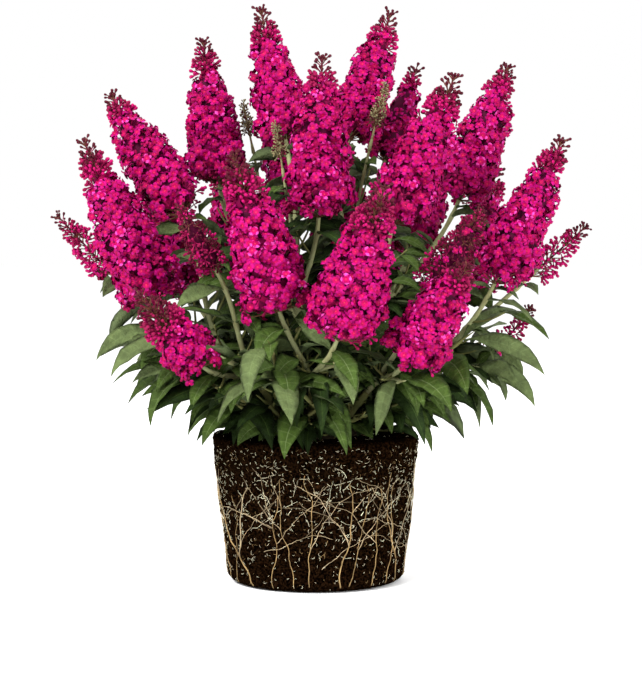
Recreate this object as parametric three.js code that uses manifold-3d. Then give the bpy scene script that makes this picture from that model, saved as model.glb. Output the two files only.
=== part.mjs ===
// A butterfly bush in full flower, lifted out of its pot and standing on its own root ball.
// Millimetres, +Z up, the origin at the middle of the root ball's flat underside, -Y the front.
//
// From the ground up: the root ball, a short woody trunk on it, twelve boughs that fan out from the
// trunk, one mass of leaves on each bough's tip, low skirt masses that spring from the trunk itself,
// and one cone-shaped flower spike on the end of each flowering twig.
import * as THREE from 'three';
import { mergeVertices } from 'three/addons/utils/BufferGeometryUtils.js';
import Module from 'manifold-3d';

// ---------------------------------------------------------------- driving dimensions
const GAP = 0.3; // between neighbouring solids that touch on the living plant
const SLIVER = 0.04; // edges shorter than this are closed up
const BALL = { topRadius: 94, footRadius: 79, height: 132, edge: 9, sides: 36, lump: 0.9 };
const TRUNK = { flareRadius: 46, height: 26, lean: 4, sides: 14, lump: 0.08 };
const BOUGH = { rootRadius: 4.2, tipRadius: 3, sides: 6, steps: 4, share: 0.36 };
const OUTER_RING = { radius: 30, rise: 7 }; // where the lower boughs leave the trunk, above the soil
const INNER_RING = { radius: 14, rise: 18 }; // where the crown's boughs leave it
const TWIG = { rootRadius: 2.9, tipRadius: 1.9, sides: 3, steps: 4 };
const SHOOT = { reach: 84, rise: 26, innerReach: 46, innerRise: 60, fan: 22 }; // leafy, with no spike
const LEAF = {
  spacing: 26, // along the twig, from one opposite pair to the next
  longest: 76, // at the foot of a twig
  middling: 64, // at the end of a leafy shoot
  shortest: 44, // just under a flower spike
  slimness: 0.38, // width over length
  thickness: 1.1,
  fold: 0.14, // how far the edges stand up from the midrib, over half the width
  splay: 62, // degrees between leaf and twig
  tipSplay: 30, // the same at the end of a leafy shoot
  turned: 0.5, // the share of its rise that a blade keeps once its stalk has turned it to the light
  perked: 10, // degrees that the stalk lifts the foot of the blade
  droop: 66, // degrees that the blade bends down along its length
  steepest: 76, // degrees below the level that a blade's tip hangs at most
  lowest: 120, // no tip hangs below this height
};
const SPIKE = { sides: 8, ringEvery: 14, bump: 0.14, shoulder: 0.12, tipShare: 0.16, taper: 1.9 };
const SKIRT = {
  azimuths: [200, 245, 289, 340, 30, 104], // between the lower boughs
  ring: { radius: 36, rise: 3 },
  fan: 18, // degrees from one twig of a mass to the next
  ends: [[126, 56], [92, 42], [144, 94], [108, 36]], // how far out and how high above the soil
};

// Each bough carries flowering twigs. A spike is given by its tip, its foot and its greatest radius.
// A spike still in green bud is small and stays part of the leafy mass.
const BOUGHS = [
  { name: 'left', spikes: [
    { tip: [-204, -30, 394], foot: [-144, -25, 257], girth: 32 },
    { tip: [-186, 42, 436], foot: [-122, 12, 332], girth: 31 },
    { tip: [-235, 36, 327], foot: [-186, 22, 276], girth: 16 }] },
  { name: 'left_low', spikes: [
    { tip: [-149, -128, 264], foot: [-100, -98, 204], girth: 26 },
    { tip: [-116, -112, 338], foot: [-86, -88, 284], girth: 17 }] },
  { name: 'front', spikes: [
    { tip: [-69, -122, 382], foot: [-32, -106, 253], girth: 34 },
    { tip: [58, -158, 356], foot: [20, -136, 231], girth: 35 }] },
  { name: 'centre', inner: true, spikes: [
    { tip: [6, -48, 467], foot: [3, -42, 332], girth: 32 },
    { tip: [-50, 60, 514], foot: [-28, 40, 400], girth: 28 },
    { tip: [-35, -14, 409], foot: [-28, -12, 362], girth: 7, greenBud: true }] },
  { name: 'crown_left', inner: true, spikes: [
    { tip: [-103, 68, 486], foot: [-89, 62, 359], girth: 30 },
    { tip: [-68, 112, 430], foot: [-58, 98, 384], girth: 8, greenBud: true }] },
  { name: 'crown_right', inner: true, spikes: [
    { tip: [69, 66, 511], foot: [31, 42, 399], girth: 28 },
    { tip: [94, 122, 461], foot: [66, 100, 380], girth: 22 },
    { tip: [62, 2, 444], foot: [48, -4, 386], girth: 9, greenBud: true }] },
  { name: 'right_high', inner: true, spikes: [
    { tip: [122, -42, 451], foot: [71, -46, 326], girth: 32 },
    { tip: [176, 52, 463], foot: [132, 36, 345], girth: 30 }] },
  { name: 'right', spikes: [
    { tip: [218, -22, 395], foot: [161, -20, 272], girth: 30 },
    { tip: [246, 34, 317], foot: [198, 26, 275], girth: 16 },
    { tip: [196, 30, 243], foot: [164, 22, 203], girth: 13 }] },
  { name: 'right_low', spikes: [
    { tip: [128, -150, 290], foot: [80, -120, 211], girth: 31 },
    { tip: [144, -84, 336], foot: [102, -70, 262], girth: 22 }] },
  { name: 'back_left', spikes: [
    { tip: [-164, 130, 386], foot: [-116, 100, 256], girth: 30 },
    { tip: [-92, 190, 382], foot: [-66, 142, 254], girth: 31 },
    { tip: [-196, 112, 300], foot: [-150, 92, 240], girth: 18 }] },
  { name: 'back', spikes: [
    { tip: [-34, 132, 462], foot: [-22, 100, 330], girth: 28 },
    { tip: [30, 206, 392], foot: [20, 154, 262], girth: 32 },
    { tip: [-38, 206, 300], foot: [-26, 162, 236], girth: 20 }] },
  { name: 'back_right', spikes: [
    { tip: [122, 158, 420], foot: [88, 116, 294], girth: 30 },
    { tip: [170, 112, 368], foot: [136, 76, 250], girth: 28 },
    { tip: [96, 204, 318], foot: [68, 160, 248], girth: 21 }] },
];

const COLOURS = { soil: '#2a1a10', bark: '#6f6a45', leaf: '#4f6a3c', flower: '#c4106f', bud: '#7a1f3c' };

// ---------------------------------------------------------------- small helpers
const wasm = await Module();
wasm.setup();

const UP = new THREE.Vector3(0, 0, 1);
const radians = THREE.MathUtils.degToRad;
const mix = THREE.MathUtils.lerp;
const vector = (xyz) => new THREE.Vector3(...xyz);

// A repeatable source of numbers from 0 to 1.
function seeded(seed) {
  let state = seed >>> 0;
  return () => {
    state = (state + 0x6d2b79f5) >>> 0;
    let word = Math.imul(state ^ (state >>> 15), state | 1);
    word ^= word + Math.imul(word ^ (word >>> 7), word | 61);
    return ((word ^ (word >>> 14)) >>> 0) / 4294967296;
  };
}

// A closed geometry as a solid, whichever way its faces were wound.
function solidOf(geometry) {
  const bare = geometry.clone();
  bare.deleteAttribute('normal');
  bare.deleteAttribute('uv');
  const merged = mergeVertices(bare, 1e-4);
  const vertProperties = merged.getAttribute('position').array;
  const triVerts = new Uint32Array(merged.index.array);
  const made = new wasm.Manifold(new wasm.Mesh({ numProp: 3, vertProperties, triVerts }));
  if (made.volume() > 0) return made;
  const turned = triVerts.map((_, i) => triVerts[i % 3 === 0 ? i : i % 3 === 1 ? i + 1 : i - 1]);
  return new wasm.Manifold(new wasm.Mesh({ numProp: 3, vertProperties, triVerts: turned }));
}

function meshOf(solid, name, material) {
  const { vertProperties, triVerts, numProp } = solid.getMesh();
  const geometry = new THREE.BufferGeometry();
  geometry.setAttribute('position', new THREE.BufferAttribute(vertProperties, numProp));
  geometry.setIndex(new THREE.BufferAttribute(triVerts, 1));
  geometry.computeVertexNormals();
  const mesh = new THREE.Mesh(geometry, material);
  mesh.name = name;
  return mesh;
}

// The largest single piece of a solid, without the slivers and loose scraps that a cut or a join leaves.
function wholePiece(solid) {
  const pieces = solid.asOriginal().simplify(SLIVER).decompose();
  return pieces.reduce((best, piece) => (piece.volume() > best.volume() ? piece : best));
}

// A spindle has two poles with rings between them. place(share, turn, ring, corner) puts each vertex.
function spindle(sides, rings, place) {
  const shape = new THREE.SphereGeometry(1, sides, rings + 1);
  const at = shape.getAttribute('position');
  let seam;
  for (let i = 0; i < at.count; i += 1) {
    const corner = i % (sides + 1);
    const ring = Math.floor(i / (sides + 1));
    const turn = (2 * Math.PI * corner) / sides;
    const placed = corner === sides ? seam : place(ring / (rings + 1), turn, ring, corner);
    if (corner === 0) seam = placed;
    at.setXYZ(i, placed.x, placed.y, placed.z);
  }
  return shape;
}

// Two directions across a curve, the first of them level.
function across(tangent) {
  const level = new THREE.Vector3().crossVectors(tangent, UP);
  if (level.length() < 1e-3) level.set(1, 0, 0);
  level.normalize();
  return [level, new THREE.Vector3().crossVectors(level, tangent).normalize()];
}

// A limb: a cylinder bent along a curve, tapering from one radius to the other.
function limb(curve, { rootRadius, tipRadius, sides, steps }) {
  const shape = new THREE.CylinderGeometry(1, 1, 1, sides, steps);
  const at = shape.getAttribute('position');
  const [firstAcross] = across(curve.getTangent(0.5));
  for (let i = 0; i < at.count; i += 1) {
    const share = at.getY(i) + 0.5;
    const tangent = curve.getTangent(share);
    const u = firstAcross.clone().addScaledVector(tangent, -firstAcross.dot(tangent)).normalize();
    const v = new THREE.Vector3().crossVectors(tangent, u);
    const radius = mix(rootRadius, tipRadius, share);
    const placed = curve.getPoint(share)
      .addScaledVector(u, at.getX(i) * radius)
      .addScaledVector(v, at.getZ(i) * radius);
    at.setXYZ(i, placed.x, placed.y, placed.z);
  }
  return solidOf(shape);
}

// A smooth curve that leaves a along one direction and arrives at b along another.
function bend(a, leaving, b, arriving, pull = 0.36) {
  const reach = a.distanceTo(b) * pull;
  return new THREE.CubicBezierCurve3(
    a,
    a.clone().addScaledVector(leaving, reach),
    b.clone().addScaledVector(arriving, -reach),
    b,
  );
}

// ---------------------------------------------------------------- root ball and trunk
function rootBall() {
  const { topRadius, footRadius, height, edge, sides, lump } = BALL;
  const profile = new THREE.Path();
  profile.moveTo(0, 0);
  profile.lineTo(footRadius - edge, 0);
  profile.quadraticCurveTo(footRadius, 0, mix(footRadius, topRadius, edge / height), edge);
  profile.lineTo(mix(footRadius, topRadius, 0.5), height / 2);
  profile.lineTo(topRadius, height - edge / 2);
  profile.lineTo(topRadius - edge / 2, height);
  profile.lineTo(0, height);
  const lathe = new THREE.LatheGeometry(profile.getPoints(2), sides);
  lathe.rotateX(Math.PI / 2);
  const at = lathe.getAttribute('position');
  for (let i = 0; i < at.count; i += 1) {
    const [x, y, z] = [at.getX(i), at.getY(i), at.getZ(i)];
    const turn = Math.atan2(y, x);
    const onSide = Math.sin((Math.PI * z) / height);
    const push = 1 + (lump * onSide * (Math.sin(5 * turn + z / 19) + Math.sin(9 * turn - z / 31))) / topRadius;
    at.setXYZ(i, x * push, y * push, z);
  }
  return solidOf(lathe);
}

// The woody foot: flat where it stands on the soil, flared, knuckled and leaning a little to the back.
// grown adds to it all over, for cutting the limbs that spring from it.
function trunk(grown = 0) {
  const { flareRadius, height, lean, sides, lump } = TRUNK;
  const stations = [[0, 0], [1, 0], [0.86, 0.2], [0.7, 0.52], [0.56, 0.86], [0.3, 1], [0, 1.03]];
  const outline = stations.map(([share, rise]) => {
    const radius = share * flareRadius + (share > 0 ? grown : 0);
    return new THREE.Vector2(Math.max(radius, 0), rise * height + (rise > 0.9 ? grown : 0));
  });
  const lathe = new THREE.LatheGeometry(outline, sides);
  lathe.rotateX(Math.PI / 2);
  const at = lathe.getAttribute('position');
  for (let i = 0; i < at.count; i += 1) {
    const [x, y, z] = [at.getX(i), at.getY(i), at.getZ(i)];
    const turn = Math.atan2(y, x);
    const knuckle = 1 + lump * Math.sin(4 * turn + 1) * Math.min(1, (2 * Math.hypot(x, y)) / flareRadius);
    at.setXYZ(i, x * knuckle, y * knuckle + (lean * z) / height, z + BALL.height);
  }
  return solidOf(lathe);
}

// ---------------------------------------------------------------- leaves
// A leaf is a three-cornered spindle: two edges and the keel of the midrib below them. Its spine
// leaves the twig at one pitch and bends down.
function leafSolid({ base, azimuth, pitch, length, droop, roll }, grown = 0) {
  const stations = [0, 0.34, 0.68, 1];
  const halfWidths = [0, 1, 0.68, 0];
  const outward = new THREE.Vector3(Math.cos(azimuth), Math.sin(azimuth), 0);
  const side = new THREE.Vector3(-Math.sin(azimuth), Math.cos(azimuth), 0);
  const spine = stations.map(() => base.clone());
  const angles = stations.map((share) => Math.max(pitch - droop * share, radians(-LEAF.steepest)));
  for (let i = 1; i < stations.length; i += 1) {
    const angle = (angles[i - 1] + angles[i]) / 2;
    const step = (stations[i] - stations[i - 1]) * length;
    spine[i].copy(spine[i - 1])
      .addScaledVector(outward, Math.cos(angle) * step)
      .addScaledVector(UP, Math.sin(angle) * step);
  }
  return solidOf(spindle(3, stations.length - 2, (share, turn, ring, corner) => {
    const tip = halfWidths[ring] === 0;
    const width = tip ? 0 : (halfWidths[ring] * length * LEAF.slimness) / 2 + grown;
    const depth = tip ? 0 : LEAF.thickness * halfWidths[ring] + grown;
    const normal = outward.clone().multiplyScalar(-Math.sin(angles[ring]))
      .addScaledVector(UP, Math.cos(angles[ring]));
    const tiltedSide = side.clone().multiplyScalar(Math.cos(roll)).addScaledVector(normal, Math.sin(roll));
    const tiltedNormal = normal.multiplyScalar(Math.cos(roll)).addScaledVector(side, -Math.sin(roll));
    const off = [width, -width, 0][corner];
    const lift = [grown + width * LEAF.fold, grown + width * LEAF.fold, -depth][corner];
    return spine[ring].clone().addScaledVector(tiltedSide, off).addScaledVector(tiltedNormal, tip ? 0 : lift);
  }));
}

// The opposite pairs along one twig, each pair a quarter turn from the last.
function leafPairs(curve, random, from, until, sizes, tipSplay = LEAF.splay) {
  const length = curve.getLength();
  const leaves = [];
  const pairs = Math.max(1, Math.floor((length * (until - from)) / LEAF.spacing));
  const firstTurn = random() * Math.PI;
  for (let pair = 0; pair < pairs; pair += 1) {
    const share = from + ((until - from) * (pair + 0.5)) / pairs;
    const base = curve.getPointAt(share);
    const tangent = curve.getTangentAt(share);
    const [u, v] = across(tangent);
    for (const half of [0, 1]) {
      const turn = firstTurn + (pair % 2) * (Math.PI / 2) + half * Math.PI + (random() - 0.5) * 0.5;
      const out = u.clone().multiplyScalar(Math.cos(turn)).addScaledVector(v, Math.sin(turn));
      const splay = radians(mix(LEAF.splay, tipSplay, share) + (random() - 0.5) * 22);
      const heading = tangent.clone().multiplyScalar(Math.cos(splay)).addScaledVector(out, Math.sin(splay));
      leaves.push({
        base,
        azimuth: Math.atan2(heading.y, heading.x),
        pitch: LEAF.turned * Math.asin(THREE.MathUtils.clamp(heading.z, -1, 1)) + radians(LEAF.perked),
        length: mix(sizes[0], sizes[1], share) * (0.86 + 0.28 * random()),
        droop: radians(LEAF.droop * (0.6 + 0.8 * random())),
        roll: (random() - 0.5) * 0.7,
      });
    }
  }
  return leaves;
}

// ---------------------------------------------------------------- flower spikes
// The share of its girth that a spike has at a share of its height: a full shoulder, then a long taper.
function spikeOutline(share) {
  const { shoulder, tipShare } = SPIKE;
  if (share < shoulder) return mix(0.42, 1, Math.sqrt(1 - (1 - share / shoulder) ** 2));
  return 1 - (1 - tipShare) * ((share - shoulder) / (1 - shoulder)) ** SPIKE.taper;
}

// A cone of flower clusters on a short stalk. Every other corner stands out as one cluster.
function spikeSolid({ tip, foot, girth }, random) {
  const from = vector(foot);
  const axis = vector(tip).sub(from);
  const height = axis.length();
  axis.normalize();
  const [u, v] = across(axis);
  const small = girth < 20;
  const sides = small ? SPIKE.sides - 2 : SPIKE.sides;
  const rings = Math.round(height / SPIKE.ringEvery) - (small ? 0 : 1);
  const around = (share, turn, radius) => from.clone()
    .addScaledVector(axis, GAP + share * (height - GAP))
    .addScaledVector(u, Math.cos(turn) * radius)
    .addScaledVector(v, Math.sin(turn) * radius);
  const start = 0.05;
  const body = spindle(sides, rings, (share, turn, ring, corner) => {
    const up = start + share * (1 - start);
    if (ring === 0 || ring === rings + 1) return around(up, 0, 0);
    const bump = (ring + corner) % 2 ? 1 + SPIKE.bump * 0.6 : 1 - SPIKE.bump;
    return around(up, turn, girth * spikeOutline(up) * (bump + (random() - 0.5) * 0.12));
  });
  const stalkCurve = new THREE.LineCurve3(around(0, 0, 0), around(0.4, 0, 0));
  const parts = [solidOf(body), limb(stalkCurve, { ...TWIG, rootRadius: TWIG.tipRadius, steps: 1 })];
  return wholePiece(wasm.Manifold.union(parts));
}

// ---------------------------------------------------------------- growing the plant
// Whether a leafy twig comes nearer to any spike than its flowers leave room for. Such a twig is left out.
function runsIntoSpike(twig) {
  return BOUGHS.flatMap(({ spikes }) => spikes).some(({ tip, foot, girth }) => {
    const from = vector(foot);
    const axis = vector(tip).sub(from);
    const height = axis.length();
    axis.divideScalar(height);
    return twig.getPoints(12).some((point) => {
      const offset = point.sub(from);
      const up = offset.dot(axis) / height;
      const room = up > 0 && up < 1 ? girth * spikeOutline(up) + 2 * TWIG.rootRadius : 0;
      return offset.addScaledVector(axis, -up * height).length() < room;
    });
  });
}

// A point on one of the rings where limbs leave the trunk.
function onTrunk(azimuth, { radius, rise }) {
  const back = (TRUNK.lean * rise) / TRUNK.height;
  return new THREE.Vector3(Math.cos(azimuth) * radius, Math.sin(azimuth) * radius + back, BALL.height + rise);
}

// The fork where a bough ends and its leafy mass begins, with the curves of bough and twigs.
function layOut(bough) {
  const feet = bough.spikes.map(({ foot }) => vector(foot));
  const middle = feet.reduce((sum, foot) => sum.add(foot), new THREE.Vector3()).divideScalar(feet.length);
  const azimuth = Math.atan2(middle.y, middle.x);
  const spread = Math.min(1, Math.hypot(middle.x, middle.y) / 120);
  const root = onTrunk(azimuth, bough.inner ? INNER_RING : OUTER_RING);
  const leaving = new THREE.Vector3(Math.cos(azimuth) * spread, Math.sin(azimuth) * spread, 1.05).normalize();
  const fork = root.clone().lerp(middle, BOUGH.share);
  const arriving = middle.clone().sub(fork).normalize();
  const curve = bend(root, leaving, fork, arriving);
  const twigs = bough.spikes.map(({ tip, foot }) => {
    const start = fork.clone().addScaledVector(arriving, GAP);
    const end = vector(foot);
    const axis = vector(tip).sub(end).normalize();
    return bend(start, arriving, end, axis, 0.4);
  });
  const [reach, rise] = bough.inner ? [SHOOT.innerReach, SHOOT.innerRise] : [SHOOT.reach, SHOOT.rise];
  const shoots = [-1, 1].map((side) => {
    const turn = azimuth + radians(side * SHOOT.fan);
    const climb = (rise / reach) * (1 + 0.35 * side);
    const heading = new THREE.Vector3(Math.cos(turn), Math.sin(turn), climb);
    const start = fork.clone().addScaledVector(arriving, GAP);
    return bend(start, arriving, fork.clone().addScaledVector(heading, reach), heading.normalize(), 0.4);
  });
  return { ...bough, curve, twigs: [...twigs, ...shoots.filter((shoot) => !runsIntoSpike(shoot))] };
}

// The skirt masses: leafy twigs that spring low from the trunk and spread over the root ball's edge.
function skirtTwigs(azimuth) {
  const middle = radians(azimuth);
  const root = onTrunk(middle, SKIRT.ring);
  const leaving = new THREE.Vector3(Math.cos(middle), Math.sin(middle), 0.45).normalize();
  const twigs = SKIRT.ends.map(([out, up], i) => {
    const turn = middle + radians(SKIRT.fan) * (i - (SKIRT.ends.length - 1) / 2);
    const flat = new THREE.Vector3(Math.cos(turn), Math.sin(turn), 0);
    const end = flat.clone().multiplyScalar(out).setZ(BALL.height + up);
    return bend(root, leaving, end, flat.setZ(up / out).normalize(), 0.34);
  });
  return twigs.filter((twig) => !runsIntoSpike(twig));
}

const boxesMeet = (a, b) => [0, 1, 2].every((k) => a.min[k] <= b.max[k] && b.min[k] <= a.max[k]);

// Whether a solid shares any space with the ones already placed.
function touches(solid, placed) {
  const box = solid.boundingBox();
  return placed.some((other) => boxesMeet(box, other.box) && solid.intersect(other.solid).volume() > 1e-6);
}

const keep = (solid) => ({ solid, box: solid.boundingBox() });

// Adds leaves to a mass one at a time. A leaf that would touch a neighbour is tried with a little
// more droop and a little shorter, and then skipped.
function addLeaves(twigs, leaves, neighbours) {
  const own = [];
  for (const leaf of leaves) {
    const tries = [leaf, { ...leaf, droop: leaf.droop * 1.5 }, { ...leaf, droop: leaf.droop * 0.5 },
      { ...leaf, length: leaf.length * 0.78, azimuth: leaf.azimuth + 0.3 },
      { ...leaf, length: leaf.length * 0.78, azimuth: leaf.azimuth - 0.3 }];
    const fitting = tries.find((one) => {
      const roomy = leafSolid(one, GAP);
      return roomy.boundingBox().min[2] > LEAF.lowest && !touches(roomy, neighbours) && !touches(roomy, own);
    });
    if (fitting) own.push(keep(leafSolid(fitting)));
  }
  return wholePiece(wasm.Manifold.union([...twigs, ...own.map(({ solid }) => solid)]));
}

function growPlant() {
  const bush = new THREE.Group();
  const material = (color, roughness) => new THREE.MeshStandardMaterial({ color, roughness, metalness: 0 });
  const materials = {
    soil: material(COLOURS.soil, 0.95),
    bark: material(COLOURS.bark, 0.8),
    leaf: material(COLOURS.leaf, 0.65),
    flower: material(COLOURS.flower, 0.6),
    bud: material(COLOURS.bud, 0.7),
  };
  const placed = [];
  const add = (solid, name, look) => {
    placed.push(keep(solid));
    bush.add(meshOf(solid, name, materials[look]));
  };

  add(rootBall(), 'root_ball', 'soil');
  add(trunk(), 'trunk', 'bark');
  const clearing = trunk(GAP);
  const boughs = BOUGHS.map(layOut);
  for (const { name, curve } of boughs) {
    add(wholePiece(limb(curve, BOUGH).subtract(clearing)), `bough_${name}`, 'bark');
  }
  boughs.forEach(({ name, spikes }, i) => spikes.filter(({ greenBud }) => !greenBud).forEach((spike, k) => {
    const look = spike.girth < 20 ? 'bud' : 'flower';
    add(spikeSolid(spike, seeded(100 * i + k + 1)), `spike_${name}_${k + 1}`, look);
  }));

  // All twigs are grown before any leaf, so that no leaf touches a twig of another mass.
  const masses = boughs.map(({ name, twigs, spikes }, i) => {
    const random = seeded(7000 + i);
    const wood = twigs.map((curve, k) => limb(curve, { ...TWIG, rootRadius: TWIG.rootRadius - (k ? 0.35 : 0) }));
    spikes.forEach((spike, k) => {
      if (!spike.greenBud) return;
      wood.push(spikeSolid({ ...spike, foot: twigs[k].getPoint(0.97).toArray() }, seeded(100 * i + k + 1)));
    });
    const leaves = twigs.flatMap((curve, k) => {
      if (k < spikes.length) return leafPairs(curve, random, 0.16, 0.96, [LEAF.longest, LEAF.shortest]);
      return leafPairs(curve, random, 0.16, 0.96, [LEAF.longest, LEAF.middling], LEAF.tipSplay);
    });
    return { name: `leaves_${name}`, wood, leaves };
  });
  SKIRT.azimuths.forEach((azimuth, i) => {
    const random = seeded(9000 + i);
    const curves = skirtTwigs(azimuth);
    const wood = curves.map((curve, k) => {
      const size = { ...TWIG, rootRadius: TWIG.rootRadius - k * 0.3, tipRadius: TWIG.tipRadius * 0.7 };
      return wholePiece(limb(curve, size).subtract(clearing));
    });
    const sizes = [LEAF.middling, LEAF.longest];
    const leaves = curves.flatMap((curve) => leafPairs(curve, random, 0.4, 1, sizes, LEAF.tipSplay));
    masses.push({ name: `leaves_skirt_${i + 1}`, wood, leaves });
  });
  const woodOf = masses.map(({ wood }) => keep(wasm.Manifold.union(wood)));
  const done = [];
  masses.forEach(({ name, wood, leaves }, i) => {
    const neighbours = [...placed, ...woodOf.filter((_, k) => k !== i), ...done];
    const solid = addLeaves(wood, leaves, neighbours);
    done.push(keep(solid));
    bush.add(meshOf(solid, name, materials.leaf));
  });
  return bush;
}

export default growPlant();
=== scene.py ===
"""Looks of a butterfly bush in full flower on its own root ball.

The bush grows here by the rule of its frame: boughs fan out from a short trunk, each carries twigs with
opposite pairs of leaves, and every flowering twig ends in a cone of flower clusters. All lengths are
millimetres until a mesh is made, +Z is up, -Y is the front, and the origin is under the root ball.
"""

import math
from dataclasses import dataclass, replace

import bpy
import numpy as np
from bpy.props import FloatProperty, FloatVectorProperty, IntProperty, PointerProperty
from bpy.types import Operator, Panel, PropertyGroup
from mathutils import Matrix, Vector, noise


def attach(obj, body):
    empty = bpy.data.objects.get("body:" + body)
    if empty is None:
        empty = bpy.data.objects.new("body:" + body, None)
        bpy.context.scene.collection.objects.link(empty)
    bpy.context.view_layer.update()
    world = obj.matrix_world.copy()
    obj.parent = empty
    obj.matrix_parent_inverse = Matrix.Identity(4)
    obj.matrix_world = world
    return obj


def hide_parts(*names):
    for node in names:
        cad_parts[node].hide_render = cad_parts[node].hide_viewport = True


bl_info = {
    "name": "Butterfly bush on its root ball",
    "version": (1, 0, 0),
    "blender": (4, 5, 0),
    "location": "3D View > Sidebar > Bush",
    "description": "Grows a flowering butterfly bush leaf by leaf and floret by floret",
    "category": "Object",
}

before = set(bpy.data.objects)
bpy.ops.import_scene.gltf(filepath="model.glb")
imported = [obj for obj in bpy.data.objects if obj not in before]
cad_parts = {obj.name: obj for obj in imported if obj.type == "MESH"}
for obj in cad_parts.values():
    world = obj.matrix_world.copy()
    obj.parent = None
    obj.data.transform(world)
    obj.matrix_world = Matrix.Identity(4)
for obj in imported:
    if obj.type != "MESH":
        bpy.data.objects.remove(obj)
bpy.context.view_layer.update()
BODY = "root"
MM = 0.001
UP = np.array([0.0, 0.0, 1.0])
GOLDEN_TURN = math.pi * (3 - math.sqrt(5))

# ---------------------------------------------------------------- sizes of the growing rule
GAP = 0.3
BALL = {"top_radius": 94, "foot_radius": 79, "height": 132, "edge": 9}
TRUNK = {"flare_radius": 46, "height": 26, "lean": 4}
BOUGH = {"root_radius": 4.2, "tip_radius": 3.0, "share": 0.36}
OUTER_RING = {"radius": 30, "rise": 7}
INNER_RING = {"radius": 14, "rise": 18}
TWIG = {"root_radius": 2.9, "tip_radius": 1.9}
SHOOT = {"outer": (84, 26), "inner": (46, 60), "fan": 22}  # reach and rise of the leafy shoots
LEAF = {
    "spacing": 26, "longest": 76, "middling": 64, "shortest": 44, "splay": 62, "tip_splay": 30,
    "turned": 0.5, "perked": 10, "droop": 66, "steepest": 76, "lowest": 120, "topmost": (30, 24),
}
LEAFY = {  # the shares of a stem's length between which its leaf pairs sit
    "twig": (0.16, 0.96), "twig_end": (0.84, 1.0), "bough": (0.45, 1.0), "side": (0.3, 1.0),
    "skirt": (0.4, 1.0), "skirt_knots": (0.4, 0.96),
}
SIDE_TWIGS = {  # the shares of a stem's length at which finer twigs leave it, and their length
    "twig": ((0.1, 0.2, 0.3, 0.4, 0.62), 33),
    "shoot": ((0.15, 0.3), 28),
    "bough": ((0.12, 0.22, 0.3, 0.4, 0.5, 0.6, 0.75), 32),
    "skirt": ((0.1, 0.2, 0.32, 0.46, 0.6), 24),
}
SIDE_TWIG = {"root_radius": 1.2, "tip_radius": 0.7, "leaves": (46, 36), "farthest": 112}
STEM_ROOM = 6.5  # how far aside of an open flowering stem the leaves keep
SEEDS = {
    "bough": 7000, "bough_finer": 8000, "skirt": 9000, "skirt_finer": 9500, "bough_bark": 300,
    "twig_bark": 500, "roots": 41, "flecks": 57, "leaves": 1200, "flowers": 2100,
}
SPIKE = {"shoulder": 0.12, "tip_share": 0.16, "taper": 1.9}
BUD_LENGTH = {
    "open": 8.8, "fringe": 7.6, "loose": 8.6, "loose_tip": 7.8, "fine": 5.6, "fine_tip": 6.0, "green": 4.6,
}
SKIRT = {
    "azimuths": (200, 245, 289, 340, 30, 104),
    "ring": {"radius": 36, "rise": 3},
    "fan": 18,
    "ends": ((126, 56), (92, 42), (144, 94), (108, 36)),
}


# ---------------------------------------------------------------- numbers, vectors and curves
class Seeded:
    """A repeatable source of numbers from 0 to 1, the same one as the frame's growing rule uses."""

    def __init__(self, seed):
        self.state = seed

    def __call__(self):
        whole = 0xFFFFFFFF
        self.state = (self.state + 0x6D2B79F5) & whole
        word = ((self.state ^ self.state >> 15) * (self.state | 1)) & whole
        word ^= (word + (word ^ word >> 7) * (word | 61)) & whole
        return (word ^ word >> 14) / 4294967296

    def swing(self, width):
        """A number to either side of 0, from a range as wide as this."""
        return (self() - 0.5) * width

    def pick(self, share, first, second):
        """The first in this share of the cases, and the second in the rest."""
        return first if self() < share else second


def mix(low, high, share):
    return low + (high - low) * share


def unit(vector):
    vector = np.asarray(vector, float)
    return vector / np.linalg.norm(vector, axis=-1, keepdims=True)


def level(turn, rise=0.0):
    """The direction at an angle round the vertical, climbing by rise for each unit outward."""
    return np.array([math.cos(turn), math.sin(turn), rise])


def across(tangent):
    """Two directions across a curve, the first of them level."""
    first = np.cross(tangent, UP)
    if np.linalg.norm(first) < 1e-3:
        first = np.array([1.0, 0.0, 0.0])
    first = unit(first)
    return first, unit(np.cross(first, tangent))


def swung(u, v, turn):
    """The direction at an angle from the first of two directions towards the second."""
    return u * math.cos(turn) + v * math.sin(turn)


class Bend:
    """A smooth curve that leaves its start along one direction and arrives at its end along another."""

    STEPS = np.linspace(0, 1, 201)

    def __init__(self, start, leaving, end, arriving, pull=0.36):
        start, end = np.asarray(start, float), np.asarray(end, float)
        reach = np.linalg.norm(end - start) * pull
        self.handles = np.array([start, start + leaving * reach, end - arriving * reach, end])
        strides = np.linalg.norm(np.diff(self.at(self.STEPS), axis=0), axis=1)
        self.travelled = np.concatenate([[0], np.cumsum(strides)])
        self.length = self.travelled[-1]

    def at(self, share):
        t = np.atleast_1d(share)[:, None]
        weights = np.hstack([(1 - t) ** 3, 3 * t * (1 - t) ** 2, 3 * t * t * (1 - t), t**3])
        return weights @ self.handles

    def heading(self, share):
        t = np.atleast_1d(share)[:, None]
        weights = np.hstack([(1 - t) ** 2, 2 * t * (1 - t), t * t])
        return unit(weights @ np.diff(self.handles, axis=0))

    def even(self, share):
        """The curve's own parameter at a share of its length."""
        return np.interp(np.atleast_1d(share) * self.length, self.travelled, self.STEPS)


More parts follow.
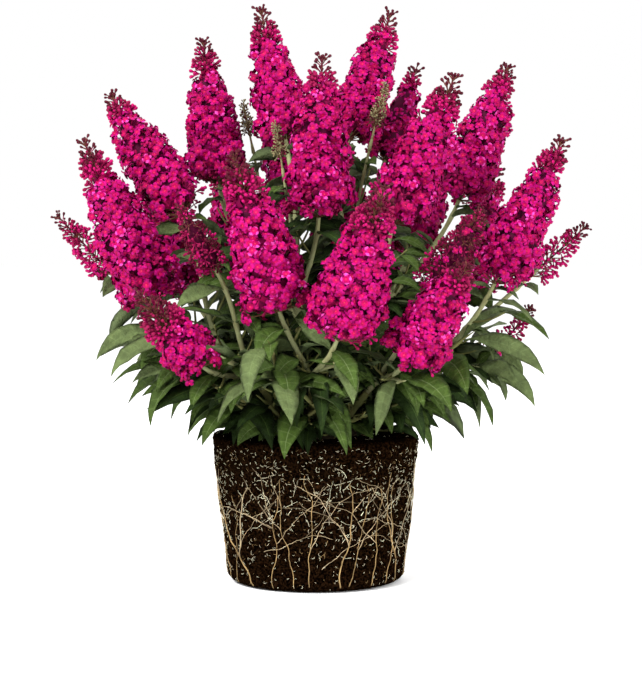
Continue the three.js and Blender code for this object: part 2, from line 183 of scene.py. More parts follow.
# ---------------------------------------------------------------- the flower spikes
@dataclass
class Spike:
    """A flower spike: its tip, its foot, its greatest radius, and how far it is out."""

    tip: tuple
    foot: tuple
    girth: float
    stage: str = "open"

    def __post_init__(self):
        self.foot = np.array(self.foot, float)
        stretch = np.array(self.tip, float) - self.foot
        self.height = np.linalg.norm(stretch)
        self.axis = stretch / self.height
        self.u, self.v = across(self.axis)

    def radius(self, up):
        """Its radius at a share of its height."""
        up, shoulder = np.clip(up, 0, 1), SPIKE["shoulder"]
        below = mix(0.42, 1, np.sqrt(np.maximum(0, 1 - (1 - np.minimum(up / shoulder, 1)) ** 2)))
        past = np.maximum(0, (up - shoulder) / (1 - shoulder))
        above = 1 - (1 - SPIKE["tip_share"]) * past ** SPIKE["taper"]
        return self.girth * np.where(up < shoulder, below, above)

    def outward(self, turn):
        """The direction out from its axis at an angle round it."""
        return swung(self.u, self.v, turn)


BOUGHS = {
    "left": [
        Spike((-204, -30, 394), (-144, -25, 257), 32),
        Spike((-186, 42, 436), (-122, 12, 332), 31),
        Spike((-235, 36, 327), (-186, 22, 276), 16, "bud"),
    ],
    "left_low": [
        Spike((-149, -128, 264), (-100, -98, 204), 26, "half"),
        Spike((-116, -112, 338), (-86, -88, 284), 17, "fine"),
    ],
    "front": [
        Spike((-69, -122, 382), (-32, -106, 253), 34),
        Spike((58, -158, 356), (20, -136, 231), 35),
    ],
    "centre": [
        Spike((6, -48, 467), (3, -42, 332), 32),
        Spike((-50, 60, 514), (-28, 40, 400), 28),
        Spike((-35, -14, 409), (-28, -12, 362), 7, "green"),
    ],
    "crown_left": [
        Spike((-103, 68, 486), (-89, 62, 359), 30),
        Spike((-68, 112, 430), (-58, 98, 384), 8, "green"),
    ],
    "crown_right": [
        Spike((69, 66, 511), (31, 42, 399), 28),
        Spike((94, 122, 461), (66, 100, 380), 22),
        Spike((62, 2, 444), (48, -4, 386), 9, "green"),
    ],
    "right_high": [
        Spike((122, -42, 451), (71, -46, 326), 32),
        Spike((176, 52, 463), (132, 36, 345), 30),
    ],
    "right": [
        Spike((218, -22, 395), (161, -20, 272), 30),
        Spike((246, 34, 317), (198, 26, 275), 16, "bud"),
        Spike((196, 30, 243), (164, 22, 203), 13, "bud"),
    ],
    "right_low": [
        Spike((128, -150, 290), (80, -120, 211), 31),
        Spike((144, -84, 336), (102, -70, 262), 22, "fine"),
    ],
    "back_left": [
        Spike((-164, 130, 386), (-116, 100, 256), 30),
        Spike((-92, 190, 382), (-66, 142, 254), 31),
        Spike((-196, 112, 300), (-150, 92, 240), 18, "bud"),
    ],
    "back": [
        Spike((-34, 132, 462), (-22, 100, 330), 28),
        Spike((30, 206, 392), (20, 154, 262), 32),
        Spike((-38, 206, 300), (-26, 162, 236), 20),
    ],
    "back_right": [
        Spike((122, 158, 420), (88, 116, 294), 30),
        Spike((170, 112, 368), (136, 76, 250), 28),
        Spike((96, 204, 318), (68, 160, 248), 21),
    ],
}
INNER_BOUGHS = ("centre", "crown_left", "crown_right", "right_high")
OPEN_BOUGHS = ("left_low", "front", "right_low")  # not hidden by leaves
SIDES = {
    "left": ("left", "left_low"),
    "front": ("front", "right_low"),
    "crown": ("centre", "crown_left", "crown_right"),
    "right": ("right_high", "right"),
    "back": ("back_left", "back", "back_right"),
}


# ---------------------------------------------------------------- the growing rule
ALL_SPIKES = [spike for spikes in BOUGHS.values() for spike in spikes]


def in_spikes(points, room):
    """Whether each point lies nearer to a spike's axis than its flowers plus room."""
    hit = np.zeros(len(points), bool)
    for spike in ALL_SPIKES:
        offset = points - spike.foot
        up = offset @ spike.axis / spike.height
        away = np.linalg.norm(offset - np.outer(up * spike.height, spike.axis), axis=1)
        hit |= (up > 0) & (up < 1) & (away < spike.radius(up) + room)
    return hit


def clear_of_spikes(twigs):
    """The leafy twigs that come no nearer to a spike than its flowers leave room for."""
    room, shares = 2 * TWIG["root_radius"], np.linspace(0, 1, 13)
    return [twig for twig in twigs if not in_spikes(twig.at(shares), room).any()]


def on_trunk(azimuth, ring):
    back = TRUNK["lean"] * ring["rise"] / TRUNK["height"]
    return level(azimuth) * ring["radius"] + np.array([0, back, BALL["height"] + ring["rise"]])


def lay_out(name):
    """A bough's curve, the curves of its flowering twigs, and those of its leafy shoots."""
    spikes = BOUGHS[name]
    middle = np.mean([spike.foot for spike in spikes], axis=0)
    azimuth = math.atan2(middle[1], middle[0])
    spread = min(1, math.hypot(middle[0], middle[1]) / 120)
    inner = name in INNER_BOUGHS
    root = on_trunk(azimuth, INNER_RING if inner else OUTER_RING)
    leaving = unit([math.cos(azimuth) * spread, math.sin(azimuth) * spread, 1.05])
    fork = mix(root, middle, BOUGH["share"])
    arriving = unit(middle - fork)
    start = fork + arriving * GAP
    twigs = [Bend(start, arriving, spike.foot, spike.axis, 0.4) for spike in spikes]
    reach, rise = SHOOT["inner" if inner else "outer"]
    shoots = []
    for side in (-1, 1):
        heading = level(azimuth + math.radians(side * SHOOT["fan"]), rise / reach * (1 + 0.35 * side))
        shoots.append(Bend(start, arriving, fork + heading * reach, unit(heading), 0.4))
    return Bend(root, leaving, fork, arriving), twigs, clear_of_spikes(shoots)


def skirt_twigs(azimuth):
    """The low leafy twigs that spring from the trunk at one azimuth."""
    middle = math.radians(azimuth)
    root = on_trunk(middle, SKIRT["ring"])
    twigs = []
    for i, (out, up) in enumerate(SKIRT["ends"]):
        turn = middle + math.radians(SKIRT["fan"]) * (i - (len(SKIRT["ends"]) - 1) / 2)
        end = level(turn) * out + UP * (BALL["height"] + up)
        twigs.append(Bend(root, unit(level(middle, 0.45)), end, unit(level(turn, up / out)), 0.34))
    return clear_of_spikes(twigs)


def side_twigs(curve, random, kind):
    """Short finer twigs that leave a stem of one kind and turn up towards the light."""
    shares, length = SIDE_TWIGS[kind]
    twigs = []
    for share in shares:
        at = curve.even(share + random.swing(0.06))
        start, tangent = curve.at(at)[0], curve.heading(at)[0]
        leaving = unit(tangent * 0.8 + swung(*across(tangent), math.tau * random()))
        end = start + (leaving + UP * 0.25) * length * (0.8 + 0.4 * random())
        twigs.append(Bend(start, leaving, end, unit(leaving + UP * 0.5)))
    return clear_of_spikes(twigs)


@dataclass
class Leaf:
    base: np.ndarray
    azimuth: float
    pitch: float
    length: float
    droop: float
    roll: float


def pair_shares(curve, part):
    """Where along a twig the leaf pairs sit on one part of it."""
    start, end = LEAFY[part]
    pairs = max(1, int(curve.length * (end - start) / LEAF["spacing"]))
    return [start + (end - start) * (pair + 0.5) / pairs for pair in range(pairs)]


def leaf_pairs(curve, random, part, sizes, tip_splay=LEAF["splay"]):
    """Opposite pairs along one part of a twig, each pair a quarter turn from the last."""
    first_turn = random() * math.pi
    leaves = []
    for pair, share in enumerate(pair_shares(curve, part)):
        at = curve.even(share)
        base, tangent = curve.at(at)[0], curve.heading(at)[0]
        u, v = across(tangent)
        for half in (0, 1):
            turn = first_turn + (pair % 2) * math.pi / 2 + half * math.pi + random.swing(0.5)
            splay = math.radians(mix(LEAF["splay"], tip_splay, share) + random.swing(22))
            heading = swung(tangent, swung(u, v, turn), splay)
            length = mix(sizes[0], sizes[1], share) * (0.86 + 0.28 * random())
            droop = math.radians(LEAF["droop"] * (0.6 + 0.8 * random()))
            roll = random.swing(0.7)
            azimuth = math.atan2(heading[1], heading[0])
            rise = math.asin(max(-1, min(1, heading[2])))
            pitch = LEAF["turned"] * rise + math.radians(LEAF["perked"])
            leaves.append(Leaf(base, azimuth, pitch, length, droop, roll))
    return leaves


def side_twig_leaves(curves, random):
    """The smaller leaves of the side twigs, which fill the inside of the bush but not its edge."""
    leaves = []
    for curve in curves:
        leaves += leaf_pairs(curve, random, "side", SIDE_TWIG["leaves"], LEAF["tip_splay"])
    return [leaf for leaf in leaves if math.hypot(*leaf.base[:2]) < SIDE_TWIG["farthest"]]


def leaf_spine(leaf, along):
    """Points down the middle of a leaf and the pitch at each."""
    angles = np.maximum(leaf.pitch - leaf.droop * along, -math.radians(LEAF["steepest"]))
    middle = (angles[1:] + angles[:-1]) / 2
    steps = np.diff(along) * leaf.length
    out = np.concatenate([[0], np.cumsum(np.cos(middle) * steps)])
    up = np.concatenate([[0], np.cumsum(np.sin(middle) * steps)])
    return leaf.base + np.outer(out, level(leaf.azimuth)) + np.outer(up, UP), angles


def ball_radius(z):
    return mix(BALL["foot_radius"], BALL["top_radius"], np.clip(z / BALL["height"], 0, 1))


def leaf_fits(leaf, slimness):
    """Whether a leaf stays clear of the flower spikes and the root ball, and doesn't hang too low."""
    along = np.array([0, 0.2, 0.4, 0.6, 0.8, 1.0])
    spine, _ = leaf_spine(leaf, along)
    side = level(leaf.azimuth + math.pi / 2) * leaf.length * slimness * 0.36
    points = np.vstack([spine[1:], spine[1:-1] + side, spine[1:-1] - side])
    away = np.hypot(points[:, 0], points[:, 1])
    in_ball = (points[:, 2] < BALL["height"] + 1.5) & (away < ball_radius(points[:, 2]) + 2)
    low = points[:, 2] < LEAF["lowest"]
    return not (low.any() or in_ball.any() or in_spikes(points, -3.0).any())


def stem_points(masses):
    """Points up the flowering stems, from below their middle to the feet of their spikes."""
    curves = [mass.bough for mass in masses if mass.name in OPEN_BOUGHS]
    for mass in masses:
        curves += [twig for twig, spike in zip(mass.twigs, mass.spikes) if spike.stage != "green"]
    return np.vstack([curve.at(np.linspace(0.4, 1, 14)) for curve in curves])


def hides_stem(leaf, stems):
    """Whether a leaf spreads in front of a flowering stem, or at the back of the bush behind it."""
    spine, _ = leaf_spine(leaf, np.array([0, 0.35, 0.55, 0.75, 0.95]))
    aside = np.abs(spine[1:, None, ::2] - stems[None, :, ::2]).max(axis=2)
    outside = (spine[1:, None, 1] - stems[None, :, 1]) * np.sign(stems[:, 1] - 1e-6)
    return bool(((aside < STEM_ROOM) & (outside > 0)).any())


def fitted(leaf, slimness, stems):
    """The leaf, or the first of a few small changes to it that fits, or None."""
    changes = ((1, 1, 0), (1.5, 1, 0), (0.5, 1, 0), (1, 0.78, 0.3), (1, 0.78, -0.3), (1, 0.6, 0))
    for droop, size, turn in changes:
        droop, length, azimuth = leaf.droop * droop, leaf.length * size, leaf.azimuth + turn
        changed = replace(leaf, droop=droop, length=length, azimuth=azimuth)
        if leaf_fits(changed, slimness) and not hides_stem(changed, stems):
            return changed
    return None


@dataclass
class Growth:
    """What grows from one place on the trunk."""

    name: str
    bough: Bend
    twigs: list
    side_twigs: list
    spikes: list
    leaves: list


def grow_bush():
    """Every bough and skirt mass with its twigs and leaves."""
    longest, middling, splay = LEAF["longest"], LEAF["middling"], LEAF["tip_splay"]
    masses = []
    for i, (name, spikes) in enumerate(BOUGHS.items()):
        bough, twigs, shoots = lay_out(name)
        random, finer = Seeded(SEEDS["bough"] + i), Seeded(SEEDS["bough_finer"] + i)
        leaves, sides = [], []
        for curve in twigs:
            leaves += leaf_pairs(curve, random, "twig", (longest, LEAF["shortest"]))
        for curve in shoots:
            leaves += leaf_pairs(curve, random, "twig", (longest, middling), splay)
        leaves += leaf_pairs(bough, finer, "bough", (middling, middling))
        for curve in twigs:
            leaves += leaf_pairs(curve, finer, "twig_end", LEAF["topmost"])
        for kind, curves in (("twig", twigs), ("shoot", shoots), ("bough", [bough])):
            for curve in curves:
                sides += side_twigs(curve, finer, kind)
        leaves += side_twig_leaves(sides, finer)
        masses.append(Growth(name, bough, [*twigs, *shoots], sides, spikes, leaves))
    for i, azimuth in enumerate(SKIRT["azimuths"]):
        random, finer = Seeded(SEEDS["skirt"] + i), Seeded(SEEDS["skirt_finer"] + i)
        twigs, leaves, sides = skirt_twigs(azimuth), [], []
        for curve in twigs:
            leaves += leaf_pairs(curve, random, "skirt", (middling, longest), splay)
            sides += side_twigs(curve, finer, "skirt")
        leaves += side_twig_leaves(sides, finer)
        masses.append(Growth(f"skirt_{i + 1}", None, twigs, sides, [], leaves))
    return masses


# ---------------------------------------------------------------- making meshes
class Sheaf:
    """Gathers many small shapes, or many copies of one shape, into one mesh."""

    def __init__(self):
        self.points, self.corners, self.sizes, self.tones = [], [], [], []
        self.count = 0

    def add(self, points, faces, tone=0):
        """points is one shape or a stack of copies. tone is one number, or one for each copy."""
        copies = points if np.ndim(points) == 3 else np.asarray(points, float)[None]
        self.points.append(copies.reshape(-1, 3))
        self.count += len(copies) * copies.shape[1]
        self.last = copies.shape[:2]
        self.add_faces(faces, tone)

    def add_faces(self, faces, tone=0):
        """Faces on the shape, or on every copy of the shape, that was added last."""
        faces = np.asarray(faces)
        copies, size = self.last
        starts = self.count + (np.arange(copies) - copies) * size
        self.corners.append((starts[:, None, None] + faces[None]).ravel())
        self.sizes.append(np.full(copies * len(faces), faces.shape[1]))
        self.tones.append(np.repeat(np.broadcast_to(tone, copies), len(faces)))

    def add_closed(self, rings, sides, ends, tone=0):
        """A closed shape of rings of points that follow each other and two points that close its ends."""
        count = len(rings) // sides
        self.add(np.vstack([rings, ends]), ring_walls(count, sides), tone)
        self.add_faces(ring_caps(count, sides), tone)

    def finish(self, name, slot, materials, *nodes):
        """Makes the piece and hooks it to the frame: its body and the nodes it stands for. The slot is not
        used.
        """
        points = np.concatenate(self.points) * MM
        corners = np.concatenate(self.corners)
        sizes = np.concatenate(self.sizes)
        mesh = bpy.data.meshes.new(name)
        mesh.vertices.add(len(points))
        mesh.vertices.foreach_set("co", points.astype(np.float32).ravel())
        mesh.loops.add(len(corners))
        mesh.loops.foreach_set("vertex_index", corners.astype(np.int32))
        mesh.polygons.add(len(sizes))
        mesh.polygons.foreach_set("loop_start", (np.cumsum(sizes) - sizes).astype(np.int32))
        mesh.polygons.foreach_set("material_index", np.concatenate(self.tones).astype(np.int32))
        mesh.polygons.foreach_set("use_smooth", np.full(len(sizes), True))
        mesh.update(calc_edges=True)
        mesh.validate()
        for material in materials:
            mesh.materials.append(material)
        piece = bpy.data.objects.new(name, mesh)
        bpy.context.scene.collection.objects.link(piece)
        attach(piece, BODY)
        if nodes:
            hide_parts(*nodes)


def ring_walls(rings, sides):
    """Quads between rings of points that follow each other."""
    ring = np.arange(sides)
    after = (ring + 1) % sides
    return np.vstack([
        np.stack([i * sides + ring, i * sides + after, (i + 1) * sides + after, (i + 1) * sides + ring], 1)
        for i in range(rings - 1)
    ])


def ring_caps(rings, sides):
    """Fans that close the first and the last ring, on two more points that follow the rings."""
    ring = np.arange(sides)
    after = (ring + 1) % sides
    last, foot = (rings - 1) * sides, rings * sides
    return np.vstack([
        np.stack([after, ring, np.full(sides, foot)], 1),
        np.stack([last + ring, last + after, np.full(sides, foot + 1)], 1),
    ])


def add_tube(sheaf, path, radii, sides, tone=0):
    """A closed tube along a path."""
    path = np.asarray(path, float)
    tangents = unit(np.gradient(path, axis=0))
    first = across(tangents[len(path) // 2])[0]
    first = unit(first - tangents * (tangents @ first)[:, None])
    second = np.cross(tangents, first)
    turns = np.linspace(0, math.tau, sides, endpoint=False)[None, :, None]
    rings = np.cos(turns) * first[:, None] + np.sin(turns) * second[:, None]
    points = path[:, None] + rings * np.asarray(radii, float)[:, None, None]
    sheaf.add_closed(points.reshape(-1, 3), sides, path[[0, -1]], tone)


def add_sticks(sheaf, starts, ends, start_radius, end_radius, tone=0):
    """Thin three-sided sticks, many at once."""
    starts, ends = np.asarray(starts, float), np.asarray(ends, float)
    along = unit(ends - starts)
    side = unit(np.cross(along, [0.31, 0.22, 0.93]))
    other = np.cross(along, side)
    corners = []
    for centre, radius in ((starts, start_radius), (ends, end_radius)):
        for turn in (0, math.tau / 3, 2 * math.tau / 3):
            corners.append(centre + radius * (math.cos(turn) * side + math.sin(turn) * other))
    sheaf.add(np.stack(corners, 1), ring_walls(2, 3), tone)


def fine_noise(point, scale, octaves=3):
    """A smooth number from about -1 to 1 at a place, with detail down to scale / 2 ** octaves."""
    return noise.fractal(Vector(point) / scale, 1.0, 2.0, octaves)


def placed(shape, centres, outward, spin, size):
    """Copies of a shape: its Z along outward, turned by spin about it, and scaled by size."""
    side = unit(np.cross(outward, UP + np.array([0.01, 0.02, 0.0])))
    other = np.cross(outward, side)
    cos, sin = np.cos(spin)[:, None], np.sin(spin)[:, None]
    first = side * cos + other * sin
    second = other * cos - side * sin
    basis = np.stack([first, second, outward], axis=1) * np.reshape(size, (-1, 1, 1))
    return np.einsum("vk,nkj->nvj", shape, basis) + centres[:, None, :]


# ---------------------------------------------------------------- shaders
class Signal:
    """A shader socket in an expression on numbers. Each operator adds its Math node."""

    def __init__(self, look, socket):
        self.look, self.socket = look, socket

    def _math(self, operation, *terms):
        made = self.look.node("ShaderNodeMath", {"operation": operation}, dict(enumerate(terms)))
        return Signal(self.look, made.outputs[0])

    def __add__(self, other):
        return self._math("ADD", self, other)

    def __mul__(self, other):
        return self._math("MULTIPLY", self, other)

    __radd__, __rmul__ = __add__, __mul__

    def clamped(self, low, high):
        """0 at low, 1 at high, and smooth between."""
        sockets = {"Value": self, "From Min": low, "From Max": high}
        made = self.look.node("ShaderNodeMapRange", {"interpolation_type": "SMOOTHSTEP"}, sockets)
        return Signal(self.look, made.outputs["Result"])


class Look:
    """One material and the nodes in it. Constants are set on the shader's own sockets."""

    def __init__(self, name, **constants):
        self.material = bpy.data.materials.new(name)
        self.material.use_nodes = True
        self.tree = self.material.node_tree
        self.shader = self.tree.nodes["Principled BSDF"]
        for socket, value in constants.items():
            label = socket.replace("_", " ").title().replace("Ior", "IOR")
            self.shader.inputs[label].default_value = value

    def node(self, kind, settings=None, sockets=None):
        """A node of one type: its settings first, then the values or links of its sockets."""
        made = self.tree.nodes.new(kind)
        for key, value in (settings or {}).items():
            setattr(made, key, value)
        for key, value in (sockets or {}).items():
            self.feed(made.inputs[key], value)
        return made

    def feed(self, socket, value):
        value = value.socket if isinstance(value, Signal) else value
        if isinstance(value, bpy.types.NodeSocket):
            self.tree.links.new(value, socket)
        else:
            socket.default_value = value

    def place(self):
        return self.node("ShaderNodeTexCoord").outputs["Object"]

    def noise(self, scale, detail, roughness=0.55, place=None, distortion=0.0):
        """Noise from 0 to 1, scale in waves for each metre."""
        made = self.node("ShaderNodeTexNoise", None, {
            "Vector": place or self.place(), "Scale": scale, "Detail": detail, "Roughness": roughness,
            "Distortion": distortion,
        })
        return Signal(self, made.outputs["Fac"])

    def blend(self, factor, low, high):
        """A colour between two colours or colour sockets."""
        made = self.node("ShaderNodeMix", {"data_type": "RGBA"}, {"Factor": factor, 6: low, 7: high})
        return made.outputs[2]

    def bump(self, height, depth):
        """Feeds the shader's normal from a height signal, depth in metres."""
        made = self.node("ShaderNodeBump", None, {"Height": height, "Distance": depth})
        self.feed(self.shader.inputs["Normal"], made.outputs["Normal"])

    def painted(self, mask, low, high):
        """The material, with a base colour that goes from low to high with a mask."""
        self.feed(self.shader.inputs["Base Color"], self.blend(mask, low, high))
        return self.material


def rgba(colour, gain=1.0):
    """A colour with an alpha of 1, lightened or darkened by gain."""
    return (*[min(1.0, channel * gain) for channel in colour[:3]], 1.0)


def soil_look(colours):
    look = Look("soil", roughness=1.0, specular_ior_level=0.0)
    crumbs = look.noise(480, 4, 0.7)
    fibre = look.noise(170, 5, 0.7, distortion=1.2).clamped(0.6, 0.74)
    dark = look.blend(crumbs.clamped(0.42, 0.66), rgba(colours.soil, 0.08), rgba(colours.soil, 2.6))
    look.bump(look.noise(1100, 3) + crumbs * 2, 0.002)
    return look.painted(fibre * 0.5, dark, rgba(colours.peat))


def bark_look(colours):
    look = Look("bark", roughness=0.88, specular_ior_level=0.2)
    stretched = look.node("ShaderNodeMapping", None, {"Vector": look.place(), "Scale": (1, 1, 0.22)})
    fissures = look.noise(260, 5, 0.65, place=stretched.outputs[0])
    look.bump(fissures, 0.0012)
    return look.painted(fissures.clamped(0.35, 0.65), rgba(colours.bark, 0.4), rgba(colours.bark, 1.3))


def stem_look(name, colour, shade):
    look = Look(name, roughness=0.8, specular_ior_level=0.1)
    felt = look.noise(900, 2)
    look.bump(felt, 0.00015)
    green = look.blend(felt, rgba(colour, 0.8), rgba(colour, 1.15))
    return look.painted(look.noise(70, 3).clamped(0.35, 0.7) * 0.5, green, rgba(shade))


def mottled_look(name, colour, gloss, relief, depth, patches, gains):
    """A fine relief, with darker and lighter patches. Gloss is the roughness and the specular level."""
    look = Look(name, roughness=gloss[0], specular_ior_level=gloss[1])
    look.bump(look.noise(*relief), depth)
    return look.painted(look.noise(*patches).clamped(0.3, 0.7), *[rgba(colour, gain) for gain in gains])


def root_look(name, colour):
    return mottled_look(name, colour, (0.75, 0.2), (700, 2), 0.0002, (110, 3), (0.5, 1.25))


def leaf_look(name, colour):
    return mottled_look(name, colour, (0.7, 0.14), (290, 4, 0.6), 0.0022, (90, 4), (0.7, 1.25))


def petal_look(name, colour):
    return mottled_look(name, colour, (0.6, 0.06), (1400, 2), 0.0002, (300, 3), (0.72, 1.2))


def floor_look(colours):
    look = Look("floor", roughness=0.9, specular_ior_level=0.1)
    return look.painted(look.noise(3, 2), rgba(colours.floor, 0.995), rgba(colours.floor))


def looks(make, colours, *names):
    """One look for each name, in the colour setting of the same name."""
    return [make(name, getattr(colours, name)) for name in names]


# ---------------------------------------------------------------- the root ball
RIM = BALL["edge"] / 2


def ball_wall(turn, z, proud=0.0):
    """A point on the root ball's crumbly wall, proud of it by some millimetres."""
    edge = BALL["edge"]
    near_foot, near_top = max(0.0, 1 - z / edge), max(0.0, 1 - (BALL["height"] - z) / RIM)
    inward = edge * (1 - math.sqrt(1 - near_foot**2)) + RIM * (1 - math.sqrt(1 - near_top**2))
    radius = float(ball_radius(z)) - inward
    place = (radius * math.cos(turn), radius * math.sin(turn), z)
    lumps = 1.7 * fine_noise(place, 26.0, 2) - 1.0
    return level(turn) * (radius + (lumps + proud) * min(1, z / edge)) + UP * z


def make_root_ball(colours):
    """Crumbly compost: a turned wall with lumps and crumbs, a rough top and a flat underside."""
    around, wall_rows, top_rows = 300, 104, 18
    turns = [math.tau * k / around for k in range(around)]
    top, height = BALL["top_radius"], BALL["height"]
    rows = []
    for i in range(wall_rows + 1):
        z = height * i / wall_rows
        rows += [ball_wall(turn, z, 2.0 * fine_noise(level(turn) * top + UP * z, 5.5)) for turn in turns]
    for i in range(1, top_rows):
        share = 1 - i / top_rows
        for turn in turns:
            place = level(turn) * (top - RIM) * share + UP * height
            crumbs = 2.0 * fine_noise(place, 5.5) + 1.4 * fine_noise(place, 22.0, 2)
            rows.append(place + UP * (crumbs - 1.2 * share**6))
    sheaf = Sheaf()
    sheaf.add_closed(rows, around, [[0, 0, 0], [0, 0, height]])
    sheaf.finish("root_ball_soil", "soil", [soil_look(colours)], "root_ball")


def make_roots(sizes, colours):
    """A net of roots on the wall of the ball: main roots that climb from its foot and fork, long ones that
    arch across them, and thin ones that dip in and out of the compost."""
    random, sheaf, stride = Seeded(SEEDS["roots"]), Sheaf(), 3.0

    def root(turn, z, lean, curl, thick, length, tone, forks=(), dip=0.0):
        """lean is the angle from the upright, and curl is how much it grows with each millimetre."""
        top = BALL["height"] - 20 - 26 * random() ** 2
        phase, kink = 6 * random(), 0.0
        path, radii = [], []
        for i in range(int(length / stride) + 1):
            share = i * stride / length
            path.append(ball_wall(turn, z, 0.9 + 0.4 * thick - dip * (1 + math.sin(phase + 2.1 * i))))
            radii.append(thick * (1 - 0.55 * share) * (0.85 + 0.3 * random()))
            lean += curl * stride
            kink = 0.65 * kink + random.swing(0.6)
            z += math.cos(lean + kink) * stride
            turn += math.sin(lean + kink) * stride / BALL["top_radius"]
            if not 1.5 < z < top:
                break
            if forks and share > forks[0]:
                side, forks = random.pick(0.5, 1, -1), forks[1:]
                rest = length * (1 - share) + 16
                root(turn, z, lean + side * 0.5, side * 0.004, radii[-1] * 0.8, rest, 1, forks)
                lean -= side * 0.2
        if len(path) > 3:
            add_tube(sheaf, path, radii, 5, tone)

    for i in range(sizes.root_count):
        turn = math.tau * (i + 0.7 * random()) / sizes.root_count
        lean = (1 if i % 2 else -1) * (0.05 + 0.3 * random())
        thick, length = 0.35 + 0.36 * random() ** 2, 84 + 34 * random()
        root(turn, 2 + 4 * random(), lean, random.swing(0.006), thick, length, 0,
             (0.22 + 0.25 * random(), 0.6 + 0.2 * random()))
    for i in range(sizes.crossing_root_count):
        turn, side = math.tau * (i + random()) / sizes.crossing_root_count, 1 if i % 2 else -1
        lean, curl = side * (0.75 + 0.4 * random()), side * (0.001 + 0.006 * random())
        thick, length = 0.21 + 0.1 * random(), 60 + 60 * random()
        root(turn, 10 + 58 * (i * 0.382 % 1), lean, curl, thick, length, 1, (0.4 + 0.4 * random(),))
    for i in range(sizes.thin_root_count):
        turn, side = math.tau * random(), 1 if i % 2 else -1
        z, lean, curl = 24 + 82 * random() ** 0.7, side * (0.2 + 1.3 * random()), random.swing(0.07)
        root(turn, z, lean, curl, 0.16, 16 + 26 * random(), 2, dip=0.75)
    materials = [*looks(root_look, colours, "root", "fine_root"), root_look("thin_root", colours.fleck)]
    sheaf.finish("root_ball_roots", "soil", materials)


def make_flecks(sizes, colours):
    """Small pale root ends that stand out of the compost, denser towards the top."""
    random, sheaf = Seeded(SEEDS["flecks"]), Sheaf()
    for i in range(sizes.fleck_count):
        on_top = i % 16 == 0
        turn, heading = math.tau * random(), math.tau * random()
        away = (BALL["top_radius"] - RIM) * math.sqrt(random())
        z = 3 + (BALL["height"] - 8) * random() ** 0.72
        stride, curl, thick = 0.6 + 0.9 * random() ** 2, random.swing(3.6), 0.09 + 0.07 * random()
        path = []
        for arch in (0.6, 1.2, 1.2, 0.5):
            if on_top:
                path.append(level(turn) * away + UP * (BALL["height"] + 0.6 + arch))
                away += math.sin(heading) * stride
            else:
                path.append(ball_wall(turn, min(z, BALL["height"] - 0.6), 0.5 + arch))
            turn += math.sin(heading) * stride / BALL["top_radius"]
            z += math.cos(heading) * stride
            heading += curl / 2
        add_tube(sheaf, path, [thick * 0.7, thick, thick, thick * 0.6], 3, random.pick(0.3, 1, 0))
    materials = [root_look("fleck", colours.fleck), root_look("dim_fleck", colours.root)]
    sheaf.finish("root_ball_flecks", "soil", materials)


# ---------------------------------------------------------------- trunk, boughs and twigs
def make_trunk(colours):
    """The woody foot, knuckled and fissured, leaning a little to the back."""
    radii, rises = (1.0, 0.86, 0.7, 0.56, 0.3, 0.02), (0.0, 0.2, 0.52, 0.86, 1.0, 1.03)
    shares = np.linspace(0, len(radii) - 1, 40)
    radii = np.interp(shares, range(len(radii)), radii) * TRUNK["flare_radius"]
    rises = np.interp(shares, range(len(rises)), rises) * TRUNK["height"]
    around = 96
    rows = []
    for radius, rise in zip(radii, rises):
        for k in range(around):
            turn = math.tau * k / around
            knuckle = 1 + 0.08 * math.sin(4 * turn + 1) * min(1, 2 * radius / TRUNK["flare_radius"])
            back = TRUNK["lean"] * rise / TRUNK["height"]
            place = level(turn) * radius * knuckle + np.array([0, back, rise])
            relief = 1.1 * fine_noise((place[0], place[1], place[2] * 0.4), 6.0, 3) - 0.9
            place += level(turn) * relief * min(1, rise / 3) * min(1, radius / 10)
            rows.append(place + UP * BALL["height"])
    crown = [0, TRUNK["lean"], BALL["height"] + TRUNK["height"] * 1.03]
    sheaf = Sheaf()
    sheaf.add_closed(rows, around, [[0, 0, BALL["height"]], crown])
    sheaf.finish("trunk_bark", "bark", [bark_look(colours)], "trunk")


def add_stem(sheaf, curve, radii, sides, knots, seed, sunk=0.0, tone=0, pointed=False):
    """A felted stem along a curve, swollen at the knots of its leaf pairs, and sunk in at its root. A leafy
    one has a pointed end."""
    along = np.linspace(0, 1, max(6, int(curve.length / 4)))
    radius = mix(radii[0], radii[1], along)
    for knot in knots:
        radius = radius * (1 + 0.3 * np.exp(-(((along - knot) * curve.length / 2.6) ** 2)))
    random = Seeded(seed)
    radius = radius * np.array([0.95 + 0.1 * random() for _ in along])
    if pointed:
        radius = radius * np.minimum(1, 0.2 + (1 - along) * curve.length / 22)
    path = curve.at(curve.even(along))
    path[0] -= curve.heading(0)[0] * sunk
    add_tube(sheaf, path, radius, sides, tone)


